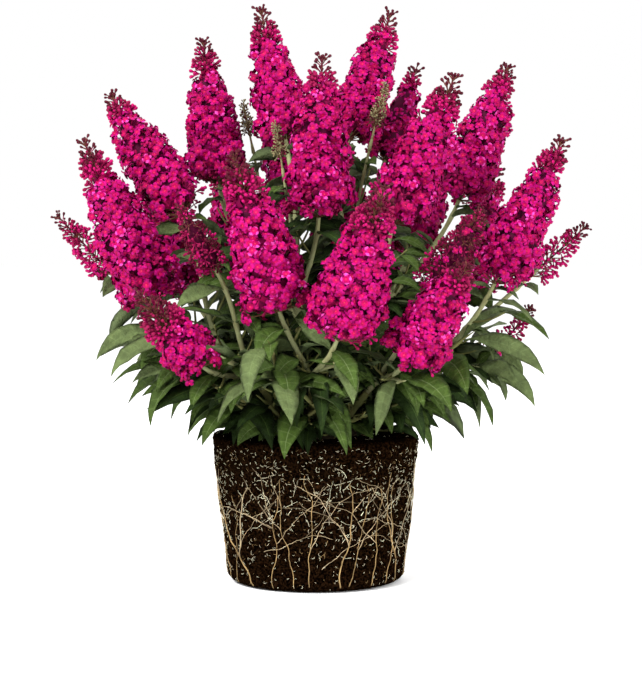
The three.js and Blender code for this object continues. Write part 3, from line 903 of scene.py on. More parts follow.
def make_stems(masses, colours):
    """The main boughs from inside the trunk to their forks, and all the twigs with leaves and flowers."""
    boughs, twigs, forked = Sheaf(), Sheaf(), []
    thick, thin = TWIG["root_radius"], TWIG["tip_radius"]
    for i, mass in enumerate(masses):
        if mass.bough:
            radii = (BOUGH["root_radius"], BOUGH["tip_radius"])
            knots = pair_shares(mass.bough, "bough")
            add_stem(boughs, mass.bough, radii, 12, knots, SEEDS["bough_bark"] + i, 8)
            forked.append(f"bough_{mass.name}")
        for k, curve in enumerate(mass.twigs):
            leafy, seed = k >= len(mass.spikes), SEEDS["twig_bark"] + 10 * i + k
            radii, part, sunk, tone = (thick - (0.35 if k else 0), thin), "twig", 0, 0
            if not mass.bough:
                radii, part, sunk, tone = (thick - k * 0.3, thin * 0.7), "skirt_knots", 6, 1
            elif not leafy and mass.spikes[k].stage == "green":
                radii = (2.1, 1.2)
            add_stem(twigs, curve, radii, 8, pair_shares(curve, part), seed, sunk, tone, leafy)
        for curve in mass.side_twigs:
            radii = np.linspace(SIDE_TWIG["root_radius"], SIDE_TWIG["tip_radius"], 7)
            add_tube(twigs, curve.at(np.linspace(0, 1, 7)), radii, 5, 1)
        for spike in mass.spikes:
            ends = [spike.foot - spike.axis, spike.foot + spike.axis * spike.height * 0.16]
            add_tube(twigs, ends, [thin, 1.2], 8)
    stem = stem_look("stem", colours.stem, colours.stem_shade)
    bough = stem_look("bough", colours.bough, colours.stem_shade)
    boughs.finish("boughs_bark", "bark", [bough], *forked)
    twigs.finish("twigs", "bark", [stem, bough])


# ---------------------------------------------------------------- leaves
STALK = 0.07


class Blade:
    """The grid of points and faces of a leaf: along its length and across its width. Its side veins, if it
    has any, are narrow rows that run forward to the edge, with panels between them."""

    def __init__(self, across, rows=6, veins=0):
        centres = (np.arange(veins) + 0.9) / (veins + 0.6)
        vein_rows = np.concatenate([[0], np.add.outer(centres, (-0.007, 0.007)).ravel(), [1]])
        self.along, self.across = vein_rows if veins else np.linspace(0, 1, rows), np.array(across)
        self.slant = 0.07 if veins else 0.0
        rows, columns = len(self.along), len(across)
        self.middle = columns // 2 - 1
        upper = np.arange(rows * columns).reshape(rows, columns)
        inner = rows * columns + np.arange(rows * 2).reshape(rows, 2)
        top = self.quads(upper)[..., [0, 3, 2, 1]]
        in_vein = (np.arange(rows - 1) % 2 == 1) & (veins > 0)
        sides = np.delete(top, self.middle, axis=1)
        self.panels, self.veins = sides[~in_vein].reshape(-1, 4), sides[in_vein].reshape(-1, 4)
        self.midrib = top[:, self.middle]
        self.lower = self.quads(np.hstack([upper[:, :1], inner, upper[:, -1:]])).reshape(-1, 4)
        self.ends = np.array([[*upper[0], *inner[0, ::-1]], [*upper[-1, ::-1], *inner[-1]]])

    @staticmethod
    def quads(grid):
        return np.stack([grid[:-1, :-1], grid[1:, :-1], grid[1:, 1:], grid[:-1, 1:]], -1)

    def points(self, leaf, slimness, thickness, random):
        """A lance-shaped blade on a short stalk: folded along the midrib, wavy at the edge, twisted towards
        the light that falls on its side of the bush."""
        along, across = self.along, self.across
        spine, angles = leaf_spine(leaf, along)
        outward, side = level(leaf.azimuth), level(leaf.azimuth + math.pi / 2)
        normal = np.outer(-np.sin(angles), outward) + np.outer(np.cos(angles), UP)
        lit_side = 1 if leaf.base[1] < 25 * random() else -1
        twist = 0.72 * lit_side * math.cos(leaf.azimuth) + random.swing(0.8)
        roll = leaf.roll + twist * np.minimum(1, along * 2.5)
        tilted = side * np.cos(roll)[:, None] + normal * np.sin(roll)[:, None]
        normal = normal * np.cos(roll)[:, None] - side * np.sin(roll)[:, None]
        blade = np.clip((along - STALK) / (1 - STALK), 0, 1)
        outline = np.sin(np.pi * blade**0.72) ** 0.9 * (1.04 - 0.38 * blade**2)
        widest = math.sqrt(leaf.length * LEAF["middling"]) * slimness / 2 * (0.78 + 0.5 * random())
        half = np.maximum(widest * outline, 0.75 * (1 - along) + 0.1)
        off = half[:, None] * across
        fold = 0.2 + 0.35 * random()
        wave = widest * 0.12 * np.sin(along * (10 + 6 * random()) + 6 * random())
        sweep = random.swing(0.16) * leaf.length * along**2
        lift = fold * np.abs(off) - (0.1 + 0.2 * random()) * off**2 / widest
        lift = lift + wave[:, None] * across**2 * np.sign(across) * outline[:, None]
        lift[:, self.middle:self.middle + 2] -= 0.25 * np.minimum(1, half / 3)[:, None]
        forward = np.outer(np.cos(angles), outward) + np.outer(np.sin(angles), UP)
        ahead = self.slant * leaf.length * np.outer(np.sin(np.pi * along), np.abs(across))
        upper = spine[:, None] + tilted[:, None] * (off + sweep[:, None])[..., None]
        upper = upper + normal[:, None] * lift[..., None] + forward[:, None] * ahead[..., None]
        thick = (thickness + 0.08) * np.minimum(1, half / 2 + 0.3)
        under = upper[:, self.middle:self.middle + 2] - (normal * thick[:, None])[:, None]
        return np.vstack([upper.reshape(-1, 3), under.reshape(-1, 3)])


# The light and dark leaf tones are lit and shaded copies of the middle green, painted light and painted
# shade, as is the dark midrib tone.
LEAF_LOOKS = (
    "leaf_light", "leaf", "leaf_dark", "leaf_underside", "midrib_light", "midrib_dark", "side_vein",
)
LIGHT, MIDDLE, DARK, UNDERSIDE, LIGHT_RIB, DARK_RIB, VEIN = range(len(LEAF_LOOKS))
FINE_BLADE = Blade((-1, -0.5, -0.04, 0.04, 0.5, 1), veins=7)
PLAIN_BLADE = Blade((-1, -0.04, 0.04, 1))


def side_leaves(leaf, random):
    """Small young leaves in the angle between a leaf and its twig."""
    outer = math.hypot(*leaf.base[:2]) > 125
    if leaf.length < 40 or random() > (0.06 if outer else 0.34):
        return []
    return [replace(
        leaf,
        azimuth=leaf.azimuth + turn + random.swing(0.5),
        pitch=min(1.3, leaf.pitch + 0.2 + 0.5 * random()),
        length=leaf.length * (0.3 + 0.18 * random()),
        droop=leaf.droop * 0.7,
        roll=random.swing(0.9),
    ) for turn in (-0.5, 0.55)]


def add_leaf(sheaf, leaf, sizes, random):
    """One leaf with painted light and shade: darker the lower it is and the deeper inside the bush, lighter
    high up and outside, and partly at random. Dark ones have no side veins.
    """
    out, up = math.hypot(*leaf.base[:2]) / 130, leaf.base[2] - BALL["height"]
    # Painted light and shade: lower and inner leaves take the dark tone, higher and outer ones the light
    # tone, with a random part.
    shade = 1.2 - 0.0022 * up - 0.75 * out + random.swing(0.6)
    tone = LIGHT if shade < 0.2 else MIDDLE if shade < 0.62 else DARK
    blade = PLAIN_BLADE if tone == DARK else FINE_BLADE
    sheaf.add(blade.points(leaf, sizes.leaf_slimness, sizes.leaf_thickness, random), blade.panels, tone)
    sheaf.add_faces(blade.veins, LIGHT_RIB if tone == LIGHT else VEIN)
    sheaf.add_faces(blade.midrib, DARK_RIB if tone == DARK else LIGHT_RIB)
    sheaf.add_faces(blade.lower, UNDERSIDE)
    sheaf.add_faces(blade.ends, UNDERSIDE)


def make_leaves(masses, sizes, colours):
    """All the leaves, each a thin closed blade, in one piece for each side of the bush."""
    materials = looks(leaf_look, colours, *LEAF_LOOKS)
    groups = {"crown": [], "left": [], "right": [], "skirt": []}
    for mass in masses:
        if mass.bough is None:
            groups["skirt"].append(mass)
        elif mass.name in INNER_BOUGHS:
            groups["crown"].append(mass)
        else:
            groups["left" if mass.bough.handles[-1][0] < 0 else "right"].append(mass)
    stems = stem_points(masses)
    for number, (group, members) in enumerate(groups.items()):
        sheaf, random = Sheaf(), Seeded(SEEDS["leaves"] + number)
        for grown in [leaf for mass in members for leaf in mass.leaves]:
            for leaf in [grown, *side_leaves(grown, random)]:
                leaf = fitted(leaf, sizes.leaf_slimness, stems)
                if leaf:
                    add_leaf(sheaf, leaf, sizes, random)
        sheaf.finish(f"foliage_{group}", "leaf", materials, *[f"leaves_{mass.name}" for mass in members])


# ---------------------------------------------------------------- flowers
PETAL_LOOKS = (
    "floret_eye", "floret_throat", "petal_bright", "petal", "petal_crimson", "petal_purple", "petal_deep",
)
EYE, THROAT, PINK_AND_HIGHLIGHT, ROSE, CRIMSON, PURPLE, SHADE_PETAL = range(len(PETAL_LOOKS))
# Petal tones from light to dark: pinker florets with painted highlight, then magenta, purple and crimson,
# then painted shade.
PETAL_STEPS = np.array([PINK_AND_HIGHLIGHT, ROSE, PURPLE, CRIMSON, SHADE_PETAL])
LOBES = 4


def floret_shape(random):
    """An open floret of radius 1 that faces +Z, with four frilled and arched lobes. Returns its points and
    its faces: the eye, the throat with the foot of each lobe, and the flanks and rims of the lobes."""
    points = [[0, 0, -0.3]]
    quarter = math.tau / LOBES

    def add(turn, radius, height):
        points.append([radius * math.cos(turn), radius * math.sin(turn), height])
        return len(points) - 1

    eyes = [add((i + 0.5) * quarter, 0.17, -0.06) for i in range(LOBES)]
    clefts = [add((i + 0.5) * quarter, 0.5 + 0.12 * random(), -0.04 - 0.1 * random())
              for i in range(LOBES)]
    flanks, rims, throat = [], [], []
    for i in range(LOBES):
        turn = i * quarter + random.swing(0.12)
        middle = add(turn, 0.58, 0.16 + 0.08 * random())
        reach = 0.94 + 0.12 * random()
        rim = [add(turn + part, reach * radius, random.swing(0.26) - 0.1)
               for part, radius in ((-0.52, 0.94), (0.0, 1.05), (0.52, 0.94))]
        loop = [clefts[i - 1], *rim, clefts[i]]
        fan = [[middle, a, b] for a, b in zip(loop, loop[1:])]
        flanks += [fan[0], fan[3]]
        rims += fan[1:3]
        foot = [clefts[i], eyes[i], eyes[i - 1], clefts[i - 1]]
        throat += [[middle, a, b] for a, b in zip(foot, foot[1:])]
    eye = [[0, eyes[i - 1], eyes[i]] for i in range(LOBES)]
    return [np.array(part) for part in (points, eye, throat, flanks, rims)]


def star_shape():
    """A plain four-lobed floret of radius 1 for the shade between the clusters."""
    turns = np.arange(2 * LOBES) * math.pi / LOBES
    radii = np.where(np.arange(2 * LOBES) % 2, 0.55, 1.0)
    rim = np.stack([radii * np.cos(turns), radii * np.sin(turns), 0.1 - 0.3 * radii], 1)
    ring = np.arange(2 * LOBES)
    faces = np.stack([np.zeros_like(ring), ring + 1, np.roll(ring, -1) + 1], 1)
    return np.vstack([[[0, 0, 0]], rim]), faces


def club_shape(sides=5):
    """A bud of length 1 along +Z, whose slim neck swells into a rounded head. Returns its points, and the
    faces of its neck, of its head and of the top."""
    profile = ((0.05, 0.0), (0.07, 0.56), (0.165, 0.78), (0.15, 0.95))
    turns = np.linspace(0, math.tau, sides, endpoint=False)
    rings = [np.stack([np.cos(turns) * r, np.sin(turns) * r, np.full(sides, z)], 1) for r, z in profile]
    points = np.vstack([*rings, [[0, 0, 1.03]]])
    walls = ring_walls(len(profile), sides)
    ring = np.arange(sides) + (len(profile) - 1) * sides
    cap = np.stack([ring, np.roll(ring, -1), np.full(sides, len(points) - 1)], 1)
    return points, walls[:sides], walls[sides:], cap


BUD_LOOKS = ("bud_neck", "bud_neck_brown", "bud_rose", "bud", "bud_dark", "bud_green")
NECK_ROSE, NECK_BROWN, HEAD_ROSE, HEAD_BURGUNDY, HEAD_DARK, GREEN = range(len(BUD_LOOKS))
RIPENESS = (  # tones of a bud's neck and head, from the first to open to the last, and of a green bud
    (NECK_ROSE, HEAD_ROSE), (NECK_ROSE, HEAD_BURGUNDY), (HEAD_BURGUNDY, HEAD_DARK),
    (NECK_BROWN, HEAD_DARK), (GREEN, GREEN),
)
UNRIPE = len(RIPENESS) - 1


@dataclass
class Cyme:
    """A flower cluster: its heart, which way it faces, its share of the spike's height, and its root."""

    heart: np.ndarray
    facing: np.ndarray
    up: float
    root: np.ndarray


def cluster(spike, up, along, away, out, facing):
    """The cluster at a place beside the axis of a spike, on a stalk that leaves the axis lower down."""
    root = spike.foot + spike.axis * max(-6, along - away * 0.7 - 2)
    return Cyme(spike.foot + spike.axis * along + out * away, facing, up, root)


class Blossom:
    """Collects the flowers of one side of the bush, each kind apart."""

    def __init__(self, seed, sizes):
        self.random, self.sizes = Seeded(seed), sizes
        self.florets, self.buds, self.stalks, self.hearts = Sheaf(), Sheaf(), Sheaf(), Sheaf()
        self.shapes = [floret_shape(self.random) for _ in range(7)]
        self.star, self.star_faces = star_shape()
        self.club = club_shape()

    def numbers(self, count):
        return np.array([self.random() for _ in range(count)])

    def fan(self, facing, count, spread):
        """Directions round a facing one: the first near its middle, the rest opened by spread radians."""
        side, other = across(facing)
        turns = math.tau * (np.arange(count) + 0.7 * self.numbers(count)) / max(1, count - 1)
        tilt = np.where(np.arange(count) == 0, 0.12, 1.0) * spread * (0.8 + 0.4 * self.numbers(count))
        sideways = np.outer(np.cos(turns), side) + np.outer(np.sin(turns), other)
        return facing * np.cos(tilt)[:, None] + sideways * np.sin(tilt)[:, None]

    def wobbly(self, facings, amount):
        """Directions turned a little at random."""
        wobble = np.stack([self.numbers(len(facings)) - 0.5 for _ in range(3)], 1) * amount
        return unit(facings + wobble)

    def place_florets(self, centres, facings, radius, depth):
        """Open florets at their places, each on the slim tube that it grew from."""
        count = len(centres)
        points, eye, throat, flanks, rims = self.shapes[int(self.random() * len(self.shapes))]
        radii = radius * (0.9 + 0.22 * self.numbers(count))
        copies = placed(points, centres, facings, self.numbers(count) * math.pi, radii)
        # Painted shade: deeper florets lean to darker tones on top of a random tone, and each lobe's flanks
        # are one step darker than its rim.
        shade = self.random() * 0.3 + self.numbers(count) * 0.45 + 0.3 * depth
        step = np.searchsorted((0.26, 0.56, 0.76), shade)
        self.florets.add(copies, rims, PETAL_STEPS[step])
        self.florets.add_faces(flanks, PETAL_STEPS[step + 1])
        self.florets.add_faces(throat, THROAT)
        self.florets.add_faces(eye, EYE)
        backward = facings * radius
        add_sticks(self.florets, centres - backward * 1.5, centres - backward * 0.25, 0.55, 0.95, CRIMSON)

    def dome(self, cyme, count, radius):
        """A rounded cluster of open florets, the deeper ones darker as painted shade."""
        facings = self.fan(cyme.facing, count, 0.98)
        depth = self.numbers(count)
        reach = self.sizes.dome_radius * (1.25 - 0.5 * depth)
        centres = cyme.heart + facings * reach[:, None]
        self.place_florets(centres, self.wobbly(facings, 0.6), radius, depth)

    def lining(self, spike, end):
        """Florets deep between the clusters, coloured dark as painted shade, up to a share of the spike's
        height.
        """
        clusters = self.cone(spike, 0.04, end, inset=self.sizes.dome_radius + 3.6, pitch=6.8, rough=4.0)
        count = len(clusters)
        facings = self.wobbly(np.array([cyme.facing for cyme in clusters]), 0.9)
        centres = np.array([cyme.heart for cyme in clusters])
        radii = self.sizes.floret_radius * (0.95 + 0.3 * self.numbers(count))
        # Painted shade: the lining florets take only crimson and the shade tone.
        tones = np.where(self.numbers(count) < 0.35, CRIMSON, SHADE_PETAL)
        copies = placed(self.star, centres, facings, self.numbers(count) * 3, radii)
        self.florets.add(copies, self.star_faces, tones)

    def clubs(self, starts, facings, length, ripeness):
        """Club-shaped buds from their starts."""
        count = len(starts)
        points, neck, head, cap = self.club
        spin, size = self.numbers(count) * 6, length * (0.82 + 0.36 * self.numbers(count))
        copies = placed(points, starts, facings, spin, size)
        neck_tone, head_tone = RIPENESS[ripeness]
        self.buds.add(copies, neck, neck_tone)
        self.buds.add_faces(head, head_tone)
        self.buds.add_faces(cap, head_tone)

    def spray(self, cyme, count, length, ripeness, spread):
        """A bunch of buds that fans out from the end of a stalk."""
        facings = self.fan(cyme.facing, count, spread)
        self.clubs(np.repeat(cyme.heart[None], count, 0), facings, length, ripeness)
        add_sticks(self.stalks, [cyme.root], [cyme.heart], 0.75, 0.5)

    def cone(self, spike, begin, end, inset, pitch, rough):
        """Clusters spread evenly over a spike between two shares of its height, a golden turn apart.
        rough is by how many millimetres their distances from the axis differ."""
        ups = np.linspace(begin, end, 60)
        reaches = np.maximum(0.8, spike.radius(ups) - inset)
        area = np.cumsum(reaches + inset * 0.5) * (ups[1] - ups[0]) * spike.height * math.tau
        count = max(4, round(area[-1] / pitch**2))
        first = self.random() * 6
        clusters = []
        for i in range(count):
            up = float(np.interp((i + 0.5 + self.random.swing(0.6)) / count, area / area[-1], ups))
            turn = first + i * GOLDEN_TURN + self.random.swing(0.12)
            out, strayed = spike.outward(turn), self.random() - 0.6
            away = float(np.interp(up, ups, reaches)) + rough * (1 + 0.6 * (up < 0.2)) * strayed
            facing = unit(out + spike.axis * (0.75 * up - 0.05 + self.random.swing(0.4)))
            clusters.append(cluster(spike, up, up * spike.height, away, out, facing))
        return clusters

    def ring(self, spike, up, inset, pitch, lean):
        """Clusters round a spike at one height, inset from its outline and leaning towards its tip."""
        reach = max(0.8, float(spike.radius(up)) - inset)
        count = max(3, round(math.tau * (reach + inset * 0.4) / pitch))
        first = self.random() * 6
        clusters = []
        for k in range(count):
            out = spike.outward(first + math.tau * (k + self.random.swing(0.35)) / count)
            facing = unit(out + spike.axis * lean * (0.75 + 0.5 * self.random()))
            along = up * spike.height + self.random.swing(pitch) * 0.7
            away = reach * (0.86 + 0.2 * self.random())
            clusters.append(cluster(spike, up, along, away, out, facing))
        return clusters

    def heart(self, spike, share, end, tone=0):
        """The inside of a spike, a core that shows between its florets, dark as painted shade except on
        green spikes, which thins to a bare stalk above.
        """
        ups = np.linspace(0.03, 0.97, 18)
        thin = np.clip((end - ups) / 0.12, 0, 1) * np.clip((ups - 0.02) / 0.08, 0, 1)
        radii = share * spike.radius(ups) * thin * (0.85 + 0.3 * self.numbers(len(ups)))
        path = spike.foot + np.outer(ups * spike.height, spike.axis)
        add_tube(self.hearts, path, radii + 1.1 - 0.5 * ups, 10, tone)

    def tip(self, spike, begin, length):
        """The whorls of buds from a share of the height up to the very tip, in sprays and then single, and
        darker as they go."""
        whorls = max(3, round(spike.height * (1 - begin) / 5.0))
        for i in range(whorls):
            share = (i + 0.4) / whorls
            up = mix(begin, 1.0, share)
            size = length * mix(1.0, 0.9, share)
            single = share > 0.5
            pitch, lean = 4.9 if single else 6.2, mix(0.4, 0.85, share)
            for cyme in self.ring(spike, up, size * 0.95, pitch, lean):
                ripeness = min(3, int(share * 3.6 + self.random() * 1.1))
                self.spray(cyme, 1 if single else 3, size, ripeness, spread=0.55)
        end = spike.foot + spike.axis * (spike.height - length * 0.7)
        last = Cyme(end, spike.axis, 1.0, end - spike.axis * 12)
        self.spray(last, 6, length * 0.85, ripeness=3, spread=0.5)

    def open_spike(self, spike):
        """A spike in flower from its foot up, with sprays of buds between the domes and above them."""
        random, sizes, length = self.random, self.sizes, BUD_LENGTH["open"]
        ripe_to = (0.46 if spike.stage == "half" else 0.74) + 0.08 * random()
        inset = sizes.dome_radius + 3.2
        for cyme in self.cone(spike, 0.05, ripe_to + 0.08, inset, sizes.cluster_pitch, rough=7.0):
            opened = 1 - max(0, cyme.up - ripe_to + 0.14) * 4.5
            opened *= min(1, 0.5 + 3 * cyme.up)
            if random() < opened:
                self.dome(cyme, 4 + (random() < 0.55), sizes.floret_radius * (1 - 0.14 * cyme.up))
                if random() < 0.35:
                    self.spray(cyme, 2, length, ripeness=0, spread=0.8)
            else:
                self.spray(cyme, 4, length, ripeness=random.pick(0.6, 0, 1), spread=0.8)
        self.lining(spike, ripe_to)
        self.tip(spike, ripe_to - 0.02, length)
        self.fringe(spike, sprays=12)
        self.heart(spike, share=0.6, end=ripe_to)

    def fringe(self, spike, sprays):
        """Loose sprays on longer stalks below the cone's shoulder."""
        foot, axis = spike.foot, spike.axis
        for k in range(sprays):
            out = spike.outward(math.tau * (k + self.random() * 0.6) / sprays)
            away = spike.girth * (0.3 + 0.55 * self.random())
            heart = foot + axis * (-4 + 12 * self.random()) + out * away
            cyme = Cyme(heart, unit(out + axis * 0.3), 0.0, foot - axis * 5)
            self.spray(cyme, 4, BUD_LENGTH["fringe"], self.random.pick(0.6, 1, 0), spread=0.8)
            if self.random() < 0.55:
                self.dome(cyme, 3, self.sizes.floret_radius * 0.9)

    def loose_spike(self, spike):
        """A spike still mostly in bud, its sprays apart from each other on their stalks."""
        for cyme in self.cone(spike, 0.04, 0.66, inset=8.0, pitch=10.5, rough=4.0):
            ripeness = self.random.pick(0.75, 0, 1)
            self.spray(cyme, 5, BUD_LENGTH["loose"], ripeness, spread=0.75)
            if self.random() < 0.22:
                self.dome(cyme, 2, self.sizes.floret_radius * 0.8)
        self.tip(spike, 0.62, BUD_LENGTH["loose_tip"])
        self.fringe(spike, sprays=4)
        self.heart(spike, share=0.0, end=0.5)

    def fine_spike(self, spike):
        """A loose panicle of small dark buds in bunches, with a first few florets open."""
        for cyme in self.cone(spike, 0.02, 0.95, inset=5.5, pitch=8.4, rough=5.0):
            ripeness = min(3, int(cyme.up * 1.6 + self.random() * 2.2))
            self.spray(cyme, 6, BUD_LENGTH["fine"] + 1.6 * self.random(), ripeness, spread=0.95)
            if self.random() < 0.14:
                self.dome(cyme, 2, self.sizes.floret_radius * 0.7)
        self.tip(spike, 0.8, BUD_LENGTH["fine_tip"])
        self.heart(spike, share=0.42, end=0.8)

    def green_spike(self, spike):
        """A young spike: small round buds at the end of a bare stalk."""
        for cyme in self.cone(spike, 0.4, 1.0, inset=3.2, pitch=4.2, rough=2.0):
            ripeness = self.random.pick(0.6, UNRIPE, 3)
            self.spray(cyme, 4, BUD_LENGTH["green"], ripeness, spread=1.1)
        self.heart(spike, share=0.0, end=0.9, tone=1)

    def grow(self, spike):
        growers = {"bud": self.loose_spike, "fine": self.fine_spike, "green": self.green_spike}
        growers.get(spike.stage, self.open_spike)(spike)


def make_flowers(sizes, colours):
    """Florets, buds, stalks and hearts of every spike, most hearts dark as painted shade, in pieces for
    each side of the bush.
    """
    petals, buds = looks(petal_look, colours, *PETAL_LOOKS), looks(petal_look, colours, *BUD_LOOKS)
    stalks = looks(petal_look, colours, "flower_stalk")
    hearts = [petal_look("spike_heart", colours.spike_heart), petal_look("green_heart", colours.bud_green)]
    for number, (side, boughs) in enumerate(SIDES.items()):
        blossom, nodes = Blossom(SEEDS["flowers"] + number, sizes), []
        for bough in boughs:
            for i, spike in enumerate(BOUGHS[bough]):
                blossom.grow(spike)
                if spike.stage != "green":
                    nodes.append(f"spike_{bough}_{i + 1}")
        blossom.florets.finish(f"florets_{side}", "flower", petals, *nodes)
        blossom.buds.finish(f"buds_{side}", "bud", buds)
        blossom.stalks.finish(f"flower_stalks_{side}", "bud", stalks)
        blossom.hearts.finish(f"spike_hearts_{side}", "bud", hearts)


# ---------------------------------------------------------------- the stage
CAMERA_PLACE = Vector((0.005, -2.2, 0.385))
CAMERA_TARGET = Vector((0.005, 0.0, 0.219))
PICTURE_HEIGHT_PIXELS = 673
FOCAL_PIXELS = 2460


def make_stage(stage, colours):
    """A pale floor, soft light from all round with a broad lamp at the upper left, and the camera."""
    bpy.ops.mesh.primitive_plane_add(size=12, location=(0, 0, -0.0005))
    floor = bpy.context.object
    floor.name = "floor"
    floor.data.materials.append(floor_look(colours))

    world = bpy.data.worlds.new("studio")
    world.use_nodes = True
    background = world.node_tree.nodes["Background"]
    background.inputs["Color"].default_value = rgba(stage.sky)
    background.inputs["Strength"].default_value = stage.sky_strength
    bpy.context.scene.world = world

    def lamp(name, place, size, power, aim=(0, 0, 0.25)):
        light = bpy.data.lights.new(name, "AREA")
        light.shape, light.size, light.energy = "DISK", size, power
        holder = bpy.data.objects.new(name, light)
        holder.location = place
        holder.rotation_euler = (Vector(aim) - Vector(place)).to_track_quat("-Z", "Y").to_euler()
        bpy.context.scene.collection.objects.link(holder)

    lamp("key", (-1.3, -1.7, 2.0), 1.4, stage.key_power)
    lamp("fill", (1.8, -1.5, 0.9), 1.4, stage.fill_power)
    lamp("rim", (0.3, 1.8, 1.7), 1.2, stage.rim_power)

    lens = bpy.data.cameras.new("camera")
    lens.sensor_fit = "VERTICAL"
    lens.sensor_height = 36
    lens.lens = FOCAL_PIXELS / PICTURE_HEIGHT_PIXELS * lens.sensor_height
    lens.clip_end = 50
    camera = bpy.data.objects.new("camera", lens)
    camera.location = CAMERA_PLACE
    camera.rotation_euler = (CAMERA_TARGET - CAMERA_PLACE).to_track_quat("-Z", "Y").to_euler()
    bpy.context.scene.collection.objects.link(camera)
    bpy.context.scene.camera = camera
    bpy.context.scene.view_settings.view_transform = "Standard"


# ---------------------------------------------------------------- settings
def colour_setting(name, description, default):
    kind = {"size": 3, "subtype": "COLOR", "min": 0, "max": 1}
    return FloatVectorProperty(name=name, description=description, default=default, **kind)


def number_setting(name, description, default, unit="NONE"):
    return FloatProperty(name=name, description=description, default=default, unit=unit)


def count_setting(name, description, default):
    return IntProperty(name=name, description=description, default=default, min=0)


class BushSizes(PropertyGroup):
    leaf_slimness: number_setting("Leaf slimness", "Width of a leaf over its length", 0.295)
    leaf_thickness: number_setting("Leaf thickness", "Thickness at the midrib, in millimetres", 0.8)
    floret_radius: number_setting("Floret radius", "Radius of an open floret, in millimetres", 4.9)
    dome_radius: number_setting("Dome radius", "Radius of a cluster of florets, in millimetres", 6.6)
    cluster_pitch: number_setting("Cluster pitch", "Distance between two clusters, in millimetres", 12.3)
    root_count: count_setting("Roots", "Main roots on the wall of the root ball", 26)
    crossing_root_count: count_setting("Crossing roots", "Long roots that arch across", 15)
    thin_root_count: count_setting("Thin roots", "Roots that dip in and out", 110)
    fleck_count: count_setting("Flecks", "Pale root ends on the root ball", 2600)


class BushColours(PropertyGroup):
    soil: colour_setting("Compost", "Dark compost of the root ball", (0.008, 0.0036, 0.0015))
    peat: colour_setting("Fibre", "Reddish fibres in the compost", (0.06, 0.02, 0.007))
    root: colour_setting("Roots", "Tan roots on the ball", (0.30, 0.195, 0.080))
    fine_root: colour_setting("Fine roots", "Thinner paler roots", (0.42, 0.32, 0.19))
    fleck: colour_setting("Flecks", "Pale root ends", (0.95, 0.80, 0.58))
    bark: colour_setting("Bark", "Fissured bark of the trunk", (0.024, 0.016, 0.008))
    bough: colour_setting("Bough", "Olive bark of the boughs", (0.13, 0.14, 0.045))
    stem: colour_setting("Stem", "Grey-green felt of the twigs", (0.28, 0.30, 0.145))
    stem_shade: colour_setting("Stem shade", "Browner patches on the stems", (0.16, 0.13, 0.05))
    leaf: colour_setting("Leaf", "Middle green of the leaves", (0.036, 0.063, 0.009))
    # Painted light: a lighter copy of the leaf green for the higher, outer leaves.
    leaf_light: colour_setting("Light leaf", "Grey-green of the outer leaves", (0.078, 0.106, 0.036))
    # Painted shade: a darker copy of the leaf green for the lower, inner leaves.
    leaf_dark: colour_setting("Dark leaf", "Deep green of the inner leaves", (0.012, 0.026, 0.003))
    leaf_underside: colour_setting("Leaf underside", "Pale felt under the leaves", (0.075, 0.10, 0.040))
    midrib_light: colour_setting("Vein", "Pale midribs", (0.094, 0.128, 0.046))
    side_vein: colour_setting("Side vein", "Side veins of the middle green leaves", (0.056, 0.087, 0.020))
    # Painted shade on the midribs of the dark leaves.
    midrib_dark: colour_setting("Shaded vein", "Midribs of the dark leaves", (0.035, 0.06, 0.012))
    petal: colour_setting("Petal", "Magenta of most florets", (0.345, 0.002, 0.113))
    # Pinker florets and painted highlight: this tone falls only on lobe rims, never on the darker flanks.
    petal_bright: colour_setting("Bright petal", "Pinker florets", (0.50, 0.045, 0.27))
    petal_crimson: colour_setting("Crimson petal", "Deep red florets", (0.22, 0.001, 0.044))
    petal_purple: colour_setting("Purple petal", "Florets that turn to purple", (0.25, 0.0015, 0.092))
    # Painted shade on florets deep in the clusters and between them.
    petal_deep: colour_setting("Shaded petal", "Florets deep between the clusters", (0.12, 0.0005, 0.032))
    floret_eye: colour_setting("Eye", "Orange-red eye of a floret", (0.54, 0.035, 0.07))
    floret_throat: colour_setting("Throat", "Red round the eye", (0.33, 0.001, 0.062))
    bud: colour_setting("Bud", "Burgundy buds", (0.20, 0.006, 0.045))
    bud_rose: colour_setting("Rose bud", "Buds about to open", (0.33, 0.004, 0.085))
    bud_neck: colour_setting("Bud neck", "Necks of the buds", (0.27, 0.006, 0.065))
    bud_neck_brown: colour_setting("Brown neck", "Necks near the tips", (0.14, 0.05, 0.035))
    bud_dark: colour_setting("Dark bud", "Purple-brown buds at the tips", (0.065, 0.007, 0.015))
    bud_green: colour_setting("Green bud", "Young grey-green buds", (0.21, 0.18, 0.09))
    flower_stalk: colour_setting("Stalk", "Stalks of the sprays", (0.13, 0.05, 0.03))
    # Painted shade: the dark core inside a spike.
    spike_heart: colour_setting("Heart", "Dark inside of a spike", (0.05, 0.0006, 0.016))
    floor: colour_setting("Floor", "Pale studio floor", (0.98, 0.98, 0.98))


class BushStage(PropertyGroup):
    sky: colour_setting("Sky", "Colour of the soft light from all round", (1.0, 1.0, 1.0))
    sky_strength: number_setting("Sky strength", "Strength of the light from all round", 1.0)
    key_power: number_setting("Key", "Power of the lamp at the upper left", 120, "POWER")
    fill_power: number_setting("Fill", "Power of the lamp at the right", 47, "POWER")
    rim_power: number_setting("Rim", "Power of the lamp behind", 26, "POWER")


# ---------------------------------------------------------------- operators and panel
MASSES = grow_bush()


class BUSH_OT_stage(Operator):
    """Add the floor, the lamps and the camera"""

    bl_idname = "bush.stage"
    bl_label = "Stage"

    def execute(self, context):
        make_stage(context.scene.bush_stage, context.scene.bush_colours)
        return {"FINISHED"}


class BUSH_OT_root_ball(Operator):
    """Make the compost of the root ball"""

    bl_idname = "bush.root_ball"
    bl_label = "Root Ball"

    def execute(self, context):
        make_root_ball(context.scene.bush_colours)
        return {"FINISHED"}


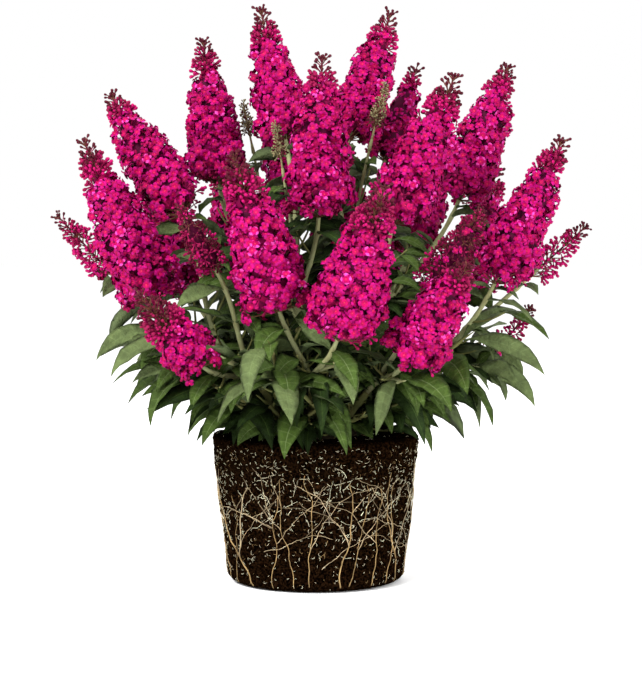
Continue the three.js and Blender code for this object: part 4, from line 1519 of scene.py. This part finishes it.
class BUSH_OT_roots(Operator):
    """Lay the roots and the pale flecks on the root ball"""

    bl_idname = "bush.roots"
    bl_label = "Roots"

    def execute(self, context):
        make_roots(context.scene.bush_sizes, context.scene.bush_colours)
        make_flecks(context.scene.bush_sizes, context.scene.bush_colours)
        return {"FINISHED"}


class BUSH_OT_wood(Operator):
    """Make the trunk, the boughs and the twigs"""

    bl_idname = "bush.wood"
    bl_label = "Trunk and Boughs"

    def execute(self, context):
        make_trunk(context.scene.bush_colours)
        make_stems(MASSES, context.scene.bush_colours)
        return {"FINISHED"}


class BUSH_OT_leaves(Operator):
    """Grow the leaves"""

    bl_idname = "bush.leaves"
    bl_label = "Leaves"

    def execute(self, context):
        make_leaves(MASSES, context.scene.bush_sizes, context.scene.bush_colours)
        return {"FINISHED"}


class BUSH_OT_flowers(Operator):
    """Grow the florets and buds of every spike"""

    bl_idname = "bush.flowers"
    bl_label = "Flowers"

    def execute(self, context):
        make_flowers(context.scene.bush_sizes, context.scene.bush_colours)
        return {"FINISHED"}


STEPS = (BUSH_OT_stage, BUSH_OT_root_ball, BUSH_OT_roots, BUSH_OT_wood, BUSH_OT_leaves, BUSH_OT_flowers)


class BUSH_PT_panel(Panel):
    """Lists the steps and the settings"""

    bl_label = "Butterfly Bush"
    bl_idname = "BUSH_PT_panel"
    bl_space_type = "VIEW_3D"
    bl_region_type = "UI"
    bl_category = "Bush"

    def draw(self, context):
        for step in STEPS:
            self.layout.operator(step.bl_idname)
        for group in (context.scene.bush_sizes, context.scene.bush_colours, context.scene.bush_stage):
            for name in group.bl_rna.properties.keys():
                if name not in ("rna_type", "name"):
                    self.layout.prop(group, name)


CLASSES = (BushSizes, BushColours, BushStage, *STEPS, BUSH_PT_panel)
SETTINGS = {"bush_sizes": BushSizes, "bush_colours": BushColours, "bush_stage": BushStage}


def register():
    for cls in CLASSES:
        bpy.utils.register_class(cls)
    for name, group in SETTINGS.items():
        setattr(bpy.types.Scene, name, PointerProperty(type=group))


def unregister():
    for name in SETTINGS:
        delattr(bpy.types.Scene, name)
    for cls in reversed(CLASSES):
        bpy.utils.unregister_class(cls)


def main():
    register()
    for step in STEPS:
        group, call = step.bl_idname.split(".")
        getattr(getattr(bpy.ops, group), call)()


if __name__ == "__main__":
    main()
